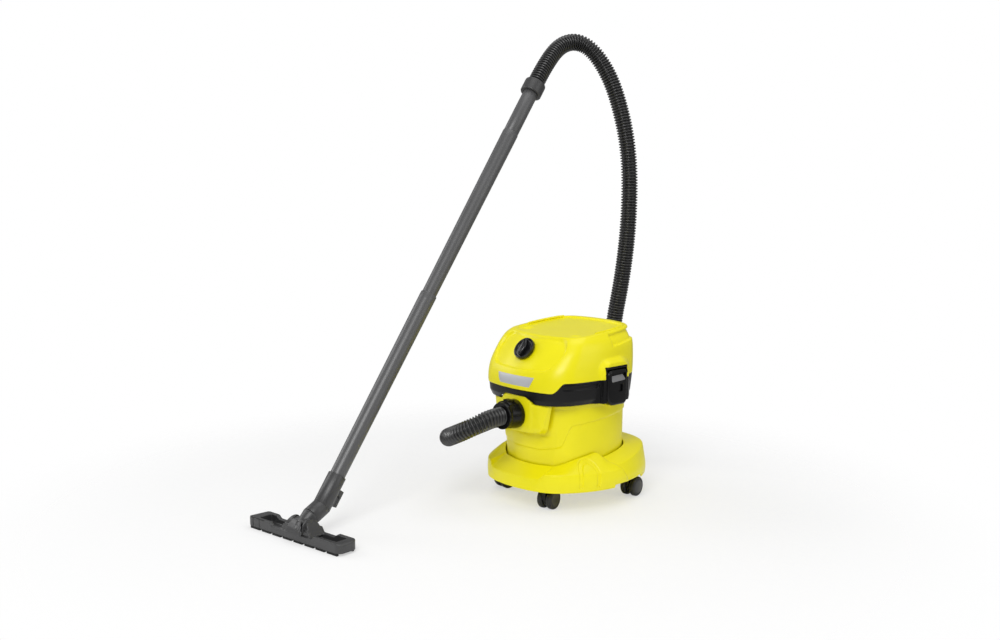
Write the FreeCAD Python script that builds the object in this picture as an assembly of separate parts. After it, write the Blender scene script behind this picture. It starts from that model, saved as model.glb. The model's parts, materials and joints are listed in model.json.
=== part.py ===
import FreeCAD, Part
import math
import os

# Free-standing tub vacuum cleaner with hose, two-piece wand and floor nozzle.
# Millimetres. The model is built about the tub's upright middle line, with the floor at z = 0,
# the hose port towards -Y, and is moved at the end so that the origin lies at the middle of the
# footprint of everything but the free hose.

Vec = FreeCAD.Vector
X_AXIS = Vec(1, 0, 0)
Y_AXIS = Vec(0, 1, 0)
Z_AXIS = Vec(0, 0, 1)
ORIGIN = Vec(0, 0, 0)

# Clearances
FIT = 0.3            # between pieces that are set together or pass each other
SHAFT_FIT = 0.05     # radial, a shaft turning in its hole
FAR = 400.0          # reach of cutting tools

# Casters
WHEEL_R = 23.5
WHEEL_WIDTH = 14.0
WHEEL_EDGE = 3.0
HOOD_WIDTH = 9.4
HOOD_R = 19.0
TRAIL = 16.0
STEM_R = 5.0
STEM_LENGTH = 24.0
STEM_WALL = 5.0
COLLAR_R = 11.0
COLLAR_TOP = 50.0
COLLAR_THICK = 2.2
AXLE_R = 3.0
# name: stem x, stem y, toe angle of the wheels as they stand in the photo
CASTERS = {
    "front_left": (-135.7, -90.9, -6.0),
    "front_right": (67.3, -135.7, 12.0),
    "rear_left": (-123.3, 88.7, 5.0),
    "rear_right": (123.3, 88.7, 10.0),
}

# Base. A plan outline is (half width, front y, rear y); its sides and ends bulge.
BASE_OUTLINE = (168.0, -182.0, 187.0)
BASE_SKIRT = (156.0, -180.0, 181.0)
BASE_BULGE_R = 235.0
BASE_CORNER_R = 95.0
BASE_WALL = 3.0
SKIRT_BOTTOM = 50.3
SKIRT_NOTCH = 58.0
SKIRT_FRONT_Z = 78.0
CREASE_FRONT_Z = 101.0
RIM_SLOPE = 7.0
FLARE_MARGIN = 4.0
SIDE_NOTCH = (-12.0, 100.0)
REAR_NOTCH_HALF = 66.0
DECK_BOTTOM = 60.0
DECK_TOP = 63.0
DECK_OPENING_R = 78.0
SOCKET_TOP = 80.0

# Raised lobes over the front corners, with an arched groove in each
LOBE_EDGE_INSET = 2.5
LOBE_SWELL = 0.6
LOBE_EDGE_Z = 93.0
LOBE_CREASE_Z = 101.0
LOBE_SLOPE = 11.5
LOBE_Z = (49.0, 123.0)
LOBE_INNER = (90.0, 0.246)        # x of its inner face at the rim, and its lean towards the back
LOBE_OUTER = (14.3, 0.87, 0.6)    # y of its outer face at the side's rim, and its leans
ARCH_CENTRE = (151.0, -81.0)
ARCH_R = (20.5, 22.5)
ARCH_DEPTH = 1.2
ARCH_FOOT_Z = 70.0

# Container
TUB_FOOT = (126.0, -130.0, 122.0)
TUB_LOW = (130.0, -134.0, 124.0)
TUB_HIGH = (133.0, -142.0, 125.0)
TUB_RIM = (137.0, -147.0, 127.0)
TUB_BULGE_R = 216.0
TUB_CORNER_R = 80.0
TUB_WALL = 2.8
TUB_LOW_Z = 100.0
TUB_HIGH_Z = 238.0
TUB_RIM_Z = 250.0
TUB_NECK_Z = 264.0
TUB_NECK_INSET = 9.0
CATCH_HALF = 18.0
CATCH_HEIGHT = 10.0

# Hose port on the front of the container
PORT_Z = 222.0
PORT_R = 26.0
PORT_BOSS_R = 34.0
PORT_INNER_Y = -128.0
PROW_Y = -168.0
PROW_BOTTOM_Z = 181.0
PROW_TOP_Z = 266.0
PROW_BOTTOM_HALF = 86.0
PROW_SIDE_HALF = 102.0
HEX_TOP_HALF = 33.0
HEX_FOOT_HALF = 57.0
HEX_FOOT_Z = 253.0

# Head. Each row is (z, half width, front y, rear y) of the outside.
HEAD_ROWS = (
    (250.4, 141.0, -167.0, 125.0),
    (262.0, 147.0, -171.0, 128.0),
    (300.0, 152.0, -173.0, 130.0),
    (330.0, 147.0, -164.0, 130.0),
    (355.0, 140.0, -147.0, 129.5),
    (375.0, 132.0, -129.0, 129.0),
    (392.0, 123.0, -107.0, 128.0),
    (404.0, 115.0, -86.0, 127.0),
    (432.0, 104.0, -50.0, 125.0),
)
HEAD_BULGE_R = 330.0
HEAD_CORNER_R = 75.0
HEAD_WALL = 3.0
TOP_FRONT = (-85.0, 398.0)
TOP_SLOPE = 6.1
TRAY_OUTLINE = (100.0, -80.0, 112.0)
TRAY_CORNER_R = 40.0
TRAY_DEPTH = 4.0
SPLIT_FRONT_Z = 281.0
SPLIT_SIDE_Z = 305.0
SPLIT_STEP = (-156.0, -134.0)

# Badge plate on the front, left blank
BADGE_TOP_HALF = 60.0
BADGE_BOTTOM_HALF = 46.0
BADGE_Z = (284.5, 313.0)
BADGE_THICK = 1.5
BADGE_GAP = 0.2

# Rotary switch on the sloping front
KNOB_FOOT = Vec(0, -134.5, 367)
KNOB_TILT = 38.0
KNOB_R = 27.0
KNOB_THICK = 9.0
KNOB_GRIP = (9.0, 50.0, 8.0)
KNOB_PAD_R = 31.0
KNOB_PAD_THICK = 9.0
KNOB_PAD_PROUD = 1.0
KNOB_SHAFT_R = 5.0
SWITCH_BODY = (30.0, 24.0, 22.0)
SWITCH_SHAFT_REACH = 9.0

# Latches, one on each side
LATCH_PIN_X = 157.0
LATCH_PIN_Z = 319.0
LATCH_PIN_R = 2.5
LATCH_EYE_R = 7.0
LATCH_MID_Y = 4.0
LATCH_HALF = 29.0
LATCH_BOTTOM_Z = 243.0
LATCH_CORNER_R = 18.0
LATCH_INNER_X = 151.0
LATCH_GRIP = (40.0, 16.0, 3.0)
LATCH_SLOT = (14.0, 18.0, 2.5)
SURROUND_HALF = 32.5
SURROUND_X = (141.0, 162.0)
SURROUND_TOP_Z = 334.0
SURROUND_BACK_X = 149.6
BULGE_ROOT = (130.0, 76.0, 365.0)
BULGE_FACE = (161.0, 38.0, 342.0)

# Rear fittings
BLOWER_X = 45.0
BLOWER_Z = 345.0
BLOWER_R = 17.5
BLOWER_OUTER_R = 22.0
BLOWER_Y = (112.0, 148.0)
BLOWER_BOSS_R = 27.0
BLOWER_BOSS_Y = (118.0, 133.0)
GLAND_X = -52.0
GLAND_Z = 335.0
GLAND_R = 9.0
GLAND_BORE_R = 4.0
GLAND_FLANGE_R = 13.0
GLAND_BOSS_Y = (112.0, 130.5)
GLAND_OUT = 14.0
GRILLE_X = -4.0
GRILLE_Z = 385.0
GRILLE_SIZE = (46.0, 22.0)
GRILLE_SLOTS = 5
GRILLE_SLOT_W = 4.0
GRILLE_Y = (125.5, 130.0)
GRILLE_GAP = 0.15

# Motor deck, seal, filter and float
PLATE_Z = (267.0, 271.0)
INTAKE_R = 16.0
SEAL_WIDTH = 5.0
SEAL_GAP = 0.3
CAGE_R = 27.0
CAGE_WALL = 2.0
CAGE_BOTTOM_Z = 183.0
CAGE_FLOOR = 4.0
CAGE_FLANGE_R = 46.0
CAGE_FLANGE_THICK = 3.0
CAGE_WINDOWS = 6
CAGE_WINDOW_W = 16.0
CAGE_WINDOW_Z = (195.0, 252.0)
FLOAT_R = 19.0
FILTER_R = 52.0
FILTER_INNER_R = 31.0
FILTER_PLEATS = 30
FILTER_PLEAT_DEPTH = 4.0
FILTER_CAP_THICK = 8.0
FILTER_KNOB = (50.0, 10.0, 12.0)
POST_R = 5.0
POST_TURN = 36.0      # where a post stands on the seal's corner, from straight across
POST_GAP = 0.9        # between a screw's head and the seal
SCREW_R = 2.0
SCREW_LENGTH = 18.0
SCREW_HEAD_R = 4.0
SCREW_HEAD_H = 3.0

# Motor
RING_R = (60.0, 68.0)
RING_THICK = 3.0
FAN_CASE_R = 68.0
FAN_CASE_HEIGHT = 36.0
FAN_CASE_WALL = 2.0
FAN_HUB_R = 16.0
FAN_HUB_THICK = 9.0
FAN_VENT_R = 5.0
FAN_VENTS = 8
FAN_VENT_PCD = 92.0
IMPELLER_R = 58.0
IMPELLER_HEIGHT = 14.0
IMPELLER_LIFT = 6.0
IMPELLER_PLATE = 1.5
IMPELLER_BLADES = 9
IMPELLER_EYE_R = 18.0
MOTOR_SHAFT_R = 4.0
BEARING_R = 11.0
BEARING_H = 7.0
STATOR_R = 43.0
STATOR_BORE_R = 26.0
STATOR_H = 40.0
ARMATURE_R = 24.5
ARMATURE_H = 30.0
COMMUTATOR_R = 12.0
COMMUTATOR_H = 10.0
BRACKET_WALL = 3.0
BRACKET_H = 26.0
BRACKET_WINDOW = 30.0
BRUSH = (8.0, 14.0, 7.0)
COOL_FAN_R = 26.0
COOL_FAN_H = 6.0
COOL_FAN_BLADES = 8

# Hose and its connector
HOSE_R = 21.5
HOSE_BORE_R = 19.0
HOSE_START_Y = -212.0
CONNECTOR_FLANGE_R = 34.0
CONNECTOR_FLANGE_T = 8.0
CONNECTOR_WAIST_R = 30.0
CONNECTOR_CUFF_R = 31.0
CONNECTOR_CUFF_T = 9.0
TAB_SIZE = (20.0, 16.0, 5.0)
TAB_SINK = 3.5
TAB_TRAVEL = 2.0

# Nozzle: built in its own frame, front bottom edge along x at y = 0, wand leaning to +y
NOZZLE_PLACE = Vec(-126.5, -693.5, 0)
NOZZLE_TURN = 6.25
NOZZLE_LENGTH = 306.0
NOZZLE_OFFSET = -6.0
NOZZLE_DEPTH = 52.0
NOZZLE_BOTTOM = 5.0
NOZZLE_TOP = 27.0
NOZZLE_WALL = 5.0
NOZZLE_CORNER_R = 14.0
NOZZLE_FLOOR = 4.0
MOUTH_LENGTH = 240.0
MOUTH = (14.0, 32.0)
RECESS = (44.0, 126.0)
RECESS_Y = (9.0, 42.0)
FRONT_DIP = (-77.0, 62.0)
REAR_DIP = (-106.0, 88.0)
DIP_Z = 20.0
DIP_RAMP = 10.0
STRIP_Y = (1.5, 44.0)
STRIP_WIDTH = 5.0
STRIP_LENGTH = 288.0
STRIP_HEIGHT = 12.0
STRIP_TEETH = 8
STRIP_GAP = (7.0, 3.5)
PIVOT_Y = 26.0
PIVOT_Z = 33.0
PIVOT_PIN_R = 3.0
BARREL_R = 15.0
BARREL_HALF = 19.0
CHEEK_THICK = 8.0
CHEEK_FOOT_HALF = 50.0
CHEEK_TOP_Z = 50.0

# Neck, sleeve and wand: s runs along the wand from the sleeve's top
NECK_RISE = 25.6
BEND_Y = 79.3
BEND_Z = 61.0
LEAN = 37.8
SLEEVE_LENGTH = 75.4
SLEEVE_R = 20.6
NECK_R = 20.6
NECK_WALL = 2.6
TUBE_SMALL_R = 17.2
TUBE_LARGE_R = 19.6
TUBE_WALL = 1.9
SOCKET_DEPTH = 45.0
TUBE_VISIBLE = 470.0
HAND_LENGTH = 122.0
CUFF_R = 27.0
CUFF_LENGTH = 34.0
CUFF_LIP = 3.0
HOOK_WIDTH = 14.0
HOOK_PLATE = (29.0, 34.0)
HOOK_S = (-62.0, -28.0)
HOOK_ROOT_S = (-38.0, -24.0)

# The hose's route, from the connector's mouth to the cuff at the top of the wand
HOSE_ROUTE = (
    (0.0, -212.3, 222.0),
    (0.0, -246.0, 222.0),
    (-24.0, -288.0, 199.4),
    (-76.0, -301.0, 174.5),
    (-130.0, -262.0, 156.2),
    (-176.0, -190.0, 146.4),
    (-208.0, -100.0, 145.4),
    (-226.0, -5.0, 151.4),
    (-232.0, 90.0, 94.0),
    (-222.0, 185.0, 50.0),
    (-196.0, 270.0, 46.0),
    (-170.0, 325.0, 100.0),
    (-150.0, 340.0, 195.0),
    (-155.0, 325.0, 334.0),
    (-116.0, 325.0, 495.0),
    (-87.0, 315.0, 656.0),
    (-86.0, 310.0, 822.0),
    (-129.0, 305.0, 969.0),
    (-171.0, 288.0, 1053.0),
    (-204.0, 252.0, 1097.0),
    (-223.0, 200.0, 1090.0),
)
HOSE_LAST_RUN = 68.0

nodes = {}


def arc_centres(half_x, half_y, side_r, corner_r):
    """Centres of the side, end and corner arcs in an outline's own quarter."""
    side_c = Vec(half_x - side_r, 0, 0)
    end_c = Vec(0, half_y - side_r, 0)
    apart = end_c - side_c
    along = apart.Length / 2
    height = math.sqrt((side_r - corner_r) ** 2 - along ** 2)
    unit = apart.normalize()
    centre = side_c + unit * along + Vec(-unit.y, unit.x, 0) * height
    if centre.x < 0 or centre.y < 0:
        centre = side_c + unit * along - Vec(-unit.y, unit.x, 0) * height
    return side_c, end_c, centre


def outline(size, z, bulge, corner, inset=0.0):
    """Closed plan outline: bulging sides and ends joined by tangent corner arcs."""
    half_x = size[0] - inset
    half_y = (size[2] - size[1]) / 2 - inset
    mid_y = (size[1] + size[2]) / 2
    side_r = bulge - inset
    corner_r = corner - inset
    side_c, end_c, centre = arc_centres(half_x, half_y, side_r, corner_r)
    to_side = (centre - side_c).normalize()
    to_end = (centre - end_c).normalize()
    p_side = side_c + to_side * side_r
    p_end = end_c + to_end * side_r
    p_mid = centre + (to_side + to_end).normalize() * corner_r

    def at(p, sx, sy):
        return Vec(sx * p.x, sy * p.y + mid_y, z)

    side = Vec(half_x, 0, 0)
    end = Vec(0, half_y, 0)
    arcs = [
        Part.Arc(at(p_side, 1, -1), at(side, 1, 1), at(p_side, 1, 1)),
        Part.Arc(at(p_side, 1, 1), at(p_mid, 1, 1), at(p_end, 1, 1)),
        Part.Arc(at(p_end, 1, 1), at(end, 1, 1), at(p_end, -1, 1)),
        Part.Arc(at(p_end, -1, 1), at(p_mid, -1, 1), at(p_side, -1, 1)),
        Part.Arc(at(p_side, -1, 1), at(side, -1, 1), at(p_side, -1, -1)),
        Part.Arc(at(p_side, -1, -1), at(p_mid, -1, -1), at(p_end, -1, -1)),
        Part.Arc(at(p_end, -1, -1), at(end, 1, -1), at(p_end, 1, -1)),
        Part.Arc(at(p_end, 1, -1), at(p_mid, 1, -1), at(p_side, 1, -1)),
    ]
    return Part.Wire([arc.toShape() for arc in arcs])


def loft(wires):
    return Part.makeLoft(wires, True, True)


def slab(size, z0, z1, bulge, corner, inset=0.0):
    """Straight-sided plate with a bulging outline."""
    face = Part.Face(outline(size, z0, bulge, corner, inset))
    return face.extrude(Vec(0, 0, z1 - z0))


def box(x, y, z):
    return Part.makeBox(x[1] - x[0], y[1] - y[0], z[1] - z[0], Vec(x[0], y[0], z[0]))


def rod(radius, start, end):
    axis = end - start
    return Part.makeCylinder(radius, axis.Length, start, axis)


def pipe(outer, inner, start, end):
    return rod(outer, start, end).cut(rod(inner, start, end))


def prism(points, direction):
    """Solid from a closed polygon of points, pushed along direction."""
    wire = Part.makePolygon(points + [points[0]])
    return Part.Face(wire).extrude(direction)


def rounded_box(x, y, z, radius):
    """Box whose four upright edges are rounded."""
    block = box(x, y, z)
    upright = [e for e in block.Edges if abs(e.BoundBox.ZLength - (z[1] - z[0])) < 1e-6]
    return block.makeFillet(radius, upright)


def fuse(shapes):
    return shapes[0].multiFuse(shapes[1:]).removeSplitter()


def mirrored_x(shape):
    return shape.mirror(ORIGIN, X_AXIS)


def around(shape, count, axis_point=ORIGIN):
    """Copies of shape, evenly spaced about an upright line."""
    copies = []
    for i in range(count):
        turned = shape.copy()
        turned.rotate(axis_point, Z_AXIS, 360.0 * i / count)
        copies.append(turned)
    return copies


# Outer forms that several pieces share

def tub_form(inset):
    """Container outside, or its cavity with an inset, up to the rim."""
    bottom = DECK_TOP + inset
    rows = [(TUB_FOOT, bottom), (TUB_LOW, TUB_LOW_Z), (TUB_HIGH, TUB_HIGH_Z), (TUB_RIM, TUB_RIM_Z)]
    return loft([outline(size, z, TUB_BULGE_R, TUB_CORNER_R, inset) for size, z in rows])


def neck_size():
    """Outline of the container's upright neck, which the seal sits on."""
    return tuple(v - math.copysign(TUB_NECK_INSET, v) for v in TUB_RIM)


def seal_grow():
    """How far the seal reaches past the neck's wall on each side."""
    return (SEAL_WIDTH - TUB_WALL) / 2


def post_places():
    """Where the right-hand head posts stand: just outside the corners of the seal."""
    half_x, front, rear = neck_size()
    _, _, centre = arc_centres(half_x, (rear - front) / 2, TUB_BULGE_R, TUB_CORNER_R)
    reach = TUB_CORNER_R + seal_grow() + SCREW_HEAD_R + POST_GAP
    turn = math.radians(POST_TURN)
    x = centre.x + reach * math.cos(turn)
    y = centre.y + reach * math.sin(turn)
    return [(x, (front + rear) / 2 + side * y) for side in (-1, 1)]


def head_form(inset, rows=HEAD_ROWS):
    wires = [outline(row[1:], row[0], HEAD_BULGE_R, HEAD_CORNER_R, inset) for row in rows]
    return loft(wires)


def above_top(drop):
    """Everything above the head's sloping top plane, lowered by drop."""
    y, z = TOP_FRONT
    tool = box((-FAR, FAR), (-FAR, FAR), (0, FAR))
    tool.rotate(ORIGIN, X_AXIS, TOP_SLOPE)
    tool.translate(Vec(0, y, z - drop))
    return tool


def above_split():
    """Region of the yellow shell: above the line where it meets the dark band."""
    line = [
        Vec(-FAR, -FAR, SPLIT_FRONT_Z), Vec(-FAR, SPLIT_STEP[0], SPLIT_FRONT_Z),
        Vec(-FAR, SPLIT_STEP[1], SPLIT_SIDE_Z), Vec(-FAR, FAR, SPLIT_SIDE_Z),
        Vec(-FAR, FAR, 2 * FAR), Vec(-FAR, -FAR, 2 * FAR),
    ]
    return prism(line, Vec(2 * FAR, 0, 0))


def hexagon_tool(margin, back_y):
    """The six-sided top of the port's prow, as a tool cut through the front."""
    foot = HEX_FOOT_HALF + margin
    top = HEX_TOP_HALF + margin
    low = HEX_FOOT_Z - FAR / 4
    points = [
        Vec(-foot, -FAR, HEX_FOOT_Z), Vec(-top, -FAR, PROW_TOP_Z + margin),
        Vec(top, -FAR, PROW_TOP_Z + margin), Vec(foot, -FAR, HEX_FOOT_Z),
        Vec(foot, -FAR, low), Vec(-foot, -FAR, low),
    ]
    return prism(points, Vec(0, FAR + back_y, 0))


def port_line(y):
    return Vec(0, y, PORT_Z)


# Base and casters

def leaning(size, bulge, corner, z, slope, inset):
    """Outline on a plane that passes through the front at height z and rises to the back."""
    front = size[1]
    rear = front + (size[2] - front) / math.cos(math.radians(slope))
    flat = outline((size[0], front, rear), z, bulge, corner, inset)
    flat.rotate(Vec(0, front, z), X_AXIS, slope)
    return flat


def tub_margin():
    return (TUB_LOW[0] + FLARE_MARGIN, TUB_LOW[1] - FLARE_MARGIN, TUB_LOW[2] + FLARE_MARGIN)


def base_form(inset, bottom):
    """Low body of the base; its upper edges rise gently to the back."""
    return loft([
        outline(BASE_OUTLINE, bottom, BASE_BULGE_R, BASE_CORNER_R, inset),
        leaning(BASE_SKIRT, BASE_BULGE_R, BASE_CORNER_R, SKIRT_FRONT_Z - inset, RIM_SLOPE, inset),
        leaning(tub_margin(), TUB_BULGE_R, TUB_CORNER_R, CREASE_FRONT_Z - inset, RIM_SLOPE, inset / 3),
    ])


def lobe_form(inset, bottom):
    """Higher body that shows only at the two front corners, a little proud of the base."""
    return loft([
        outline(BASE_OUTLINE, bottom, BASE_BULGE_R, BASE_CORNER_R, inset - LOBE_SWELL),
        outline(BASE_OUTLINE, LOBE_EDGE_Z - inset / 2, BASE_BULGE_R, BASE_CORNER_R, inset + LOBE_EDGE_INSET),
        leaning(tub_margin(), TUB_BULGE_R, TUB_CORNER_R, LOBE_CREASE_Z - inset, LOBE_SLOPE, inset / 3),
    ])


def lobe_region(inset):
    """Space of the right-hand front lobe, bounded by two slanting faces."""
    rim_x, front_y, _ = BASE_OUTLINE
    inner_x, inner_lean = LOBE_INNER
    outer_y, outer_lean, outer_drop = LOBE_OUTER
    reach = FAR / 2
    back_x, back_y = 0.6 * rim_x, front_y / 2

    def left(y, z):
        return inner_x + z - LOBE_EDGE_Z - inner_lean * (y - front_y) + inset

    def right(x, z):
        return outer_y + outer_lean * (x - rim_x) + outer_drop * (LOBE_EDGE_Z - z) - inset

    def ring(z):
        points = [
            Vec(left(-reach, z), -reach, z), Vec(reach, -reach, z), Vec(reach, right(reach, z), z),
            Vec(back_x, right(back_x, z), z), Vec(left(back_y, z), back_y, z),
        ]
        return Part.makePolygon(points + points[:1])

    return Part.makeLoft([ring(LOBE_Z[0]), ring(LOBE_Z[1])], True, True)


def make_chassis():
    def body_form(inset, bottom):
        lobe = lobe_form(inset, bottom).common(lobe_region(inset))
        return base_form(inset, bottom).fuse(lobe).fuse(mirrored_x(lobe))

    body = body_form(0, SKIRT_BOTTOM).cut(body_form(BASE_WALL, SKIRT_BOTTOM - 1))
    deck = slab(BASE_OUTLINE, DECK_BOTTOM, DECK_TOP, BASE_BULGE_R, BASE_CORNER_R, BASE_WALL / 2)
    deck = deck.cut(rod(DECK_OPENING_R, Vec(0, 0, DECK_BOTTOM - 1), Vec(0, 0, DECK_TOP + 1)))
    body = body.fuse(deck)
    for x, y, _ in CASTERS.values():
        body = body.fuse(rod(STEM_R + STEM_WALL, Vec(x, y, SKIRT_BOTTOM), Vec(x, y, SOCKET_TOP)))
    body = body.cut(tub_form(-FIT))
    for x, y, _ in CASTERS.values():
        hole_top = COLLAR_TOP + STEM_LENGTH + FIT
        body = body.cut(rod(STEM_R + SHAFT_FIT, Vec(x, y, SKIRT_BOTTOM - 1), Vec(x, y, hole_top)))
    side = box((BASE_OUTLINE[0] / 2, FAR), SIDE_NOTCH, (0, SKIRT_NOTCH))
    rear = box((-REAR_NOTCH_HALF, REAR_NOTCH_HALF), (BASE_OUTLINE[2] / 2, FAR), (0, SKIRT_NOTCH))
    inner = slab(BASE_OUTLINE, 0, SKIRT_NOTCH, BASE_BULGE_R, BASE_CORNER_R, 2 * BASE_WALL)
    for tool in (side, mirrored_x(side), rear):
        body = body.cut(tool.cut(inner))
    arch = pipe(ARCH_R[1], ARCH_R[0], Vec(*ARCH_CENTRE, ARCH_FOOT_Z), Vec(*ARCH_CENTRE, LOBE_Z[1]))
    arch = arch.cut(lobe_form(ARCH_DEPTH, SKIRT_BOTTOM - 1))
    return body.cut(arch).cut(mirrored_x(arch)).removeSplitter()


def make_caster(x, y, toe):
    """Fork, axle and wheel pair, trailing towards the back as after rolling forwards."""
    axle = Vec(x, y + TRAIL, WHEEL_R)
    half_hood = HOOD_WIDTH / 2
    hood = rod(HOOD_R, axle - X_AXIS * half_hood, axle + X_AXIS * half_hood)
    neck = box((x - half_hood, x + half_hood), (y - STEM_R, y + STEM_R), (WHEEL_R, COLLAR_TOP - COLLAR_THICK))
    collar = rod(COLLAR_R, Vec(x, y, COLLAR_TOP - COLLAR_THICK), Vec(x, y, COLLAR_TOP))
    stem = rod(STEM_R, Vec(x, y, WHEEL_R), Vec(x, y, COLLAR_TOP + STEM_LENGTH))
    fork = fuse([hood, neck, collar, stem])
    reach = half_hood + FIT + WHEEL_WIDTH - WHEEL_EDGE
    pin = rod(AXLE_R, axle - X_AXIS * reach, axle + X_AXIS * reach)
    fork = fork.cut(pin)
    wheels = []
    for side in (-1, 1):
        start = axle + X_AXIS * side * (half_hood + FIT)
        tread = rod(WHEEL_R, start, start + X_AXIS * side * WHEEL_WIDTH)
        outward = X_AXIS * side
        tread = tread.makeFillet(WHEEL_EDGE, [e for e in tread.Edges if e.Curve.TypeId == "Part::GeomCircle"])
        hole = rod(AXLE_R + SHAFT_FIT, start, start + outward * (WHEEL_WIDTH - WHEEL_EDGE + FIT))
        dish = rod(WHEEL_R * 0.72, start + outward * (WHEEL_WIDTH - 0.8), start + outward * FAR)
        wheels.append(tread.cut(hole).cut(dish))
    pieces = (fork, pin, Part.Compound(wheels))
    for piece in pieces:
        piece.rotate(Vec(x, y, 0), Z_AXIS, toe)
    return pieces


# Container

def make_container():
    outside = tub_form(0)
    neck = slab(neck_size(), TUB_RIM_Z - TUB_WALL, TUB_NECK_Z, TUB_BULGE_R, TUB_CORNER_R)
    prow_face = [
        Vec(-PROW_BOTTOM_HALF, PROW_Y, PROW_BOTTOM_Z), Vec(PROW_BOTTOM_HALF, PROW_Y, PROW_BOTTOM_Z),
        Vec(PROW_SIDE_HALF, PROW_Y, TUB_RIM_Z), Vec(HEX_FOOT_HALF, PROW_Y, TUB_RIM_Z),
        Vec(HEX_FOOT_HALF, PROW_Y, HEX_FOOT_Z), Vec(HEX_TOP_HALF, PROW_Y, PROW_TOP_Z),
        Vec(-HEX_TOP_HALF, PROW_Y, PROW_TOP_Z), Vec(-HEX_FOOT_HALF, PROW_Y, HEX_FOOT_Z),
        Vec(-HEX_FOOT_HALF, PROW_Y, TUB_RIM_Z), Vec(-PROW_SIDE_HALF, PROW_Y, TUB_RIM_Z),
    ]
    prow = prism(prow_face, Vec(0, -PROW_Y + TUB_HIGH[1] + TUB_WALL, 0))
    guard = slab((HEAD_ROWS[0][1], PROW_Y, HEAD_ROWS[0][3]), 0, FAR, HEAD_BULGE_R, HEAD_CORNER_R)
    prow = prow.common(guard)
    catch_z = (TUB_RIM_Z - CATCH_HEIGHT, TUB_RIM_Z)
    catch_y = (LATCH_MID_Y - CATCH_HALF, LATCH_MID_Y + CATCH_HALF)
    catch = box((TUB_HIGH[0] - TUB_WALL, LATCH_INNER_X - 2 * FIT), catch_y, catch_z)
    body = fuse([outside, neck, prow, catch, mirrored_x(catch)])
    cavity = tub_form(TUB_WALL)
    mouth = slab(neck_size(), TUB_RIM_Z - 2 * TUB_WALL, FAR, TUB_BULGE_R, TUB_CORNER_R, TUB_WALL)
    shelf = slab(neck_size(), TUB_RIM_Z - TUB_WALL, TUB_RIM_Z + TUB_WALL, TUB_BULGE_R, TUB_CORNER_R, TUB_WALL)
    upper_cavity = cavity.cut(box((-FAR, FAR), (-FAR, FAR), (TUB_RIM_Z - TUB_WALL, FAR))).fuse(mouth)
    body = body.cut(upper_cavity).cut(shelf)
    boss = rod(PORT_BOSS_R, port_line(TUB_HIGH[1] - TUB_WALL), port_line(PORT_INNER_Y))
    body = fuse([body, boss])
    return body.cut(rod(PORT_R, port_line(-FAR), port_line(PORT_INNER_Y + 1)))


def make_inlet_elbow():
    """Deflector that turns the incoming air down, on the inner end of the port."""
    wall = 2.5
    inner = PORT_R - wall
    bend_r = PORT_R + 6
    flange = pipe(PORT_BOSS_R, inner, port_line(PORT_INNER_Y), port_line(PORT_INNER_Y + wall))
    start = port_line(PORT_INNER_Y + wall)
    centre = start - Z_AXIS * bend_r

    def quarter(radius):
        circle = Part.Wire(Part.Circle(start, Y_AXIS, radius).toShape())
        return Part.Face(circle).revolve(centre, X_AXIS, -60)

    return fuse([flange, quarter(PORT_R).cut(quarter(inner))])


# Head

def make_head():
    """Yellow shell and dark band, cut from one form along the split line."""
    bulge = side_bulge()
    outside = head_form(0).cut(above_top(0)).fuse(bulge).fuse(mirrored_x(bulge))
    inside_rows = ((HEAD_ROWS[0][0] - 1,) + HEAD_ROWS[0][1:],) + HEAD_ROWS[1:]
    inside = head_form(HEAD_WALL, inside_rows).cut(above_top(HEAD_WALL + TRAY_DEPTH))
    skin = outside.cut(inside)
    tray = slab(TRAY_OUTLINE, -TRAY_DEPTH, FAR, HEAD_BULGE_R, TRAY_CORNER_R)
    tray.translate(Vec(0, -TOP_FRONT[0], 0))
    tray.rotate(ORIGIN, X_AXIS, TOP_SLOPE)
    tray.translate(Vec(0, TOP_FRONT[0], TOP_FRONT[1]))
    skin = skin.cut(tray)
    shell = skin.common(above_split())
    band = skin.cut(above_split()).cut(hexagon_tool(FIT, PROW_Y + 3 * HEAD_WALL))
    posts = []
    for x, y in post_places():
        post = rod(POST_R, Vec(x, y, PLATE_Z[1]), Vec(x, y, HEAD_ROWS[-1][0]))
        post = post.common(outside).cut(rod(SCREW_R, Vec(x, y, 0), Vec(x, y, PLATE_Z[0] + SCREW_LENGTH)))
        posts += [post, mirrored_x(post)]
    pad = rod(KNOB_PAD_R, knob_point(KNOB_PAD_PROUD - KNOB_PAD_THICK), knob_point(KNOB_PAD_PROUD))
    blower_boss = rod(BLOWER_BOSS_R, blower_line(BLOWER_BOSS_Y[0]), blower_line(BLOWER_BOSS_Y[1]))
    gland_boss = rod(GLAND_FLANGE_R, gland_line(GLAND_BOSS_Y[0]), gland_line(GLAND_BOSS_Y[1]))
    shell = fuse([shell] + posts + [pad, blower_boss, gland_boss])
    shell = shell.cut(rod(KNOB_SHAFT_R + SHAFT_FIT, knob_point(-FAR / 8), knob_point(FAR / 8)))
    shell = shell.cut(rod(BLOWER_OUTER_R, blower_line(0), blower_line(FAR)))
    shell = shell.cut(rod(GLAND_R, gland_line(0), gland_line(FAR)))
    shell = shell.cut(grille_block(GRILLE_GAP, (GRILLE_Y[0] - 2 * HEAD_WALL, FAR)))
    shell = shell.cut(rod(KNOB_PAD_R, knob_point(KNOB_PAD_PROUD), knob_point(FAR / 8)))
    right_tool, right_frame = latch_surround()
    left_tool, left_frame = mirrored_x(right_tool), mirrored_x(right_frame)
    shell = shell.cut(right_tool).cut(left_tool)
    band = fuse([band.cut(right_tool).cut(left_tool), right_frame, left_frame])
    return shell.removeSplitter(), band


def blower_line(y):
    return Vec(BLOWER_X, y, BLOWER_Z)


def gland_line(y):
    return Vec(GLAND_X, y, GLAND_Z)


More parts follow.
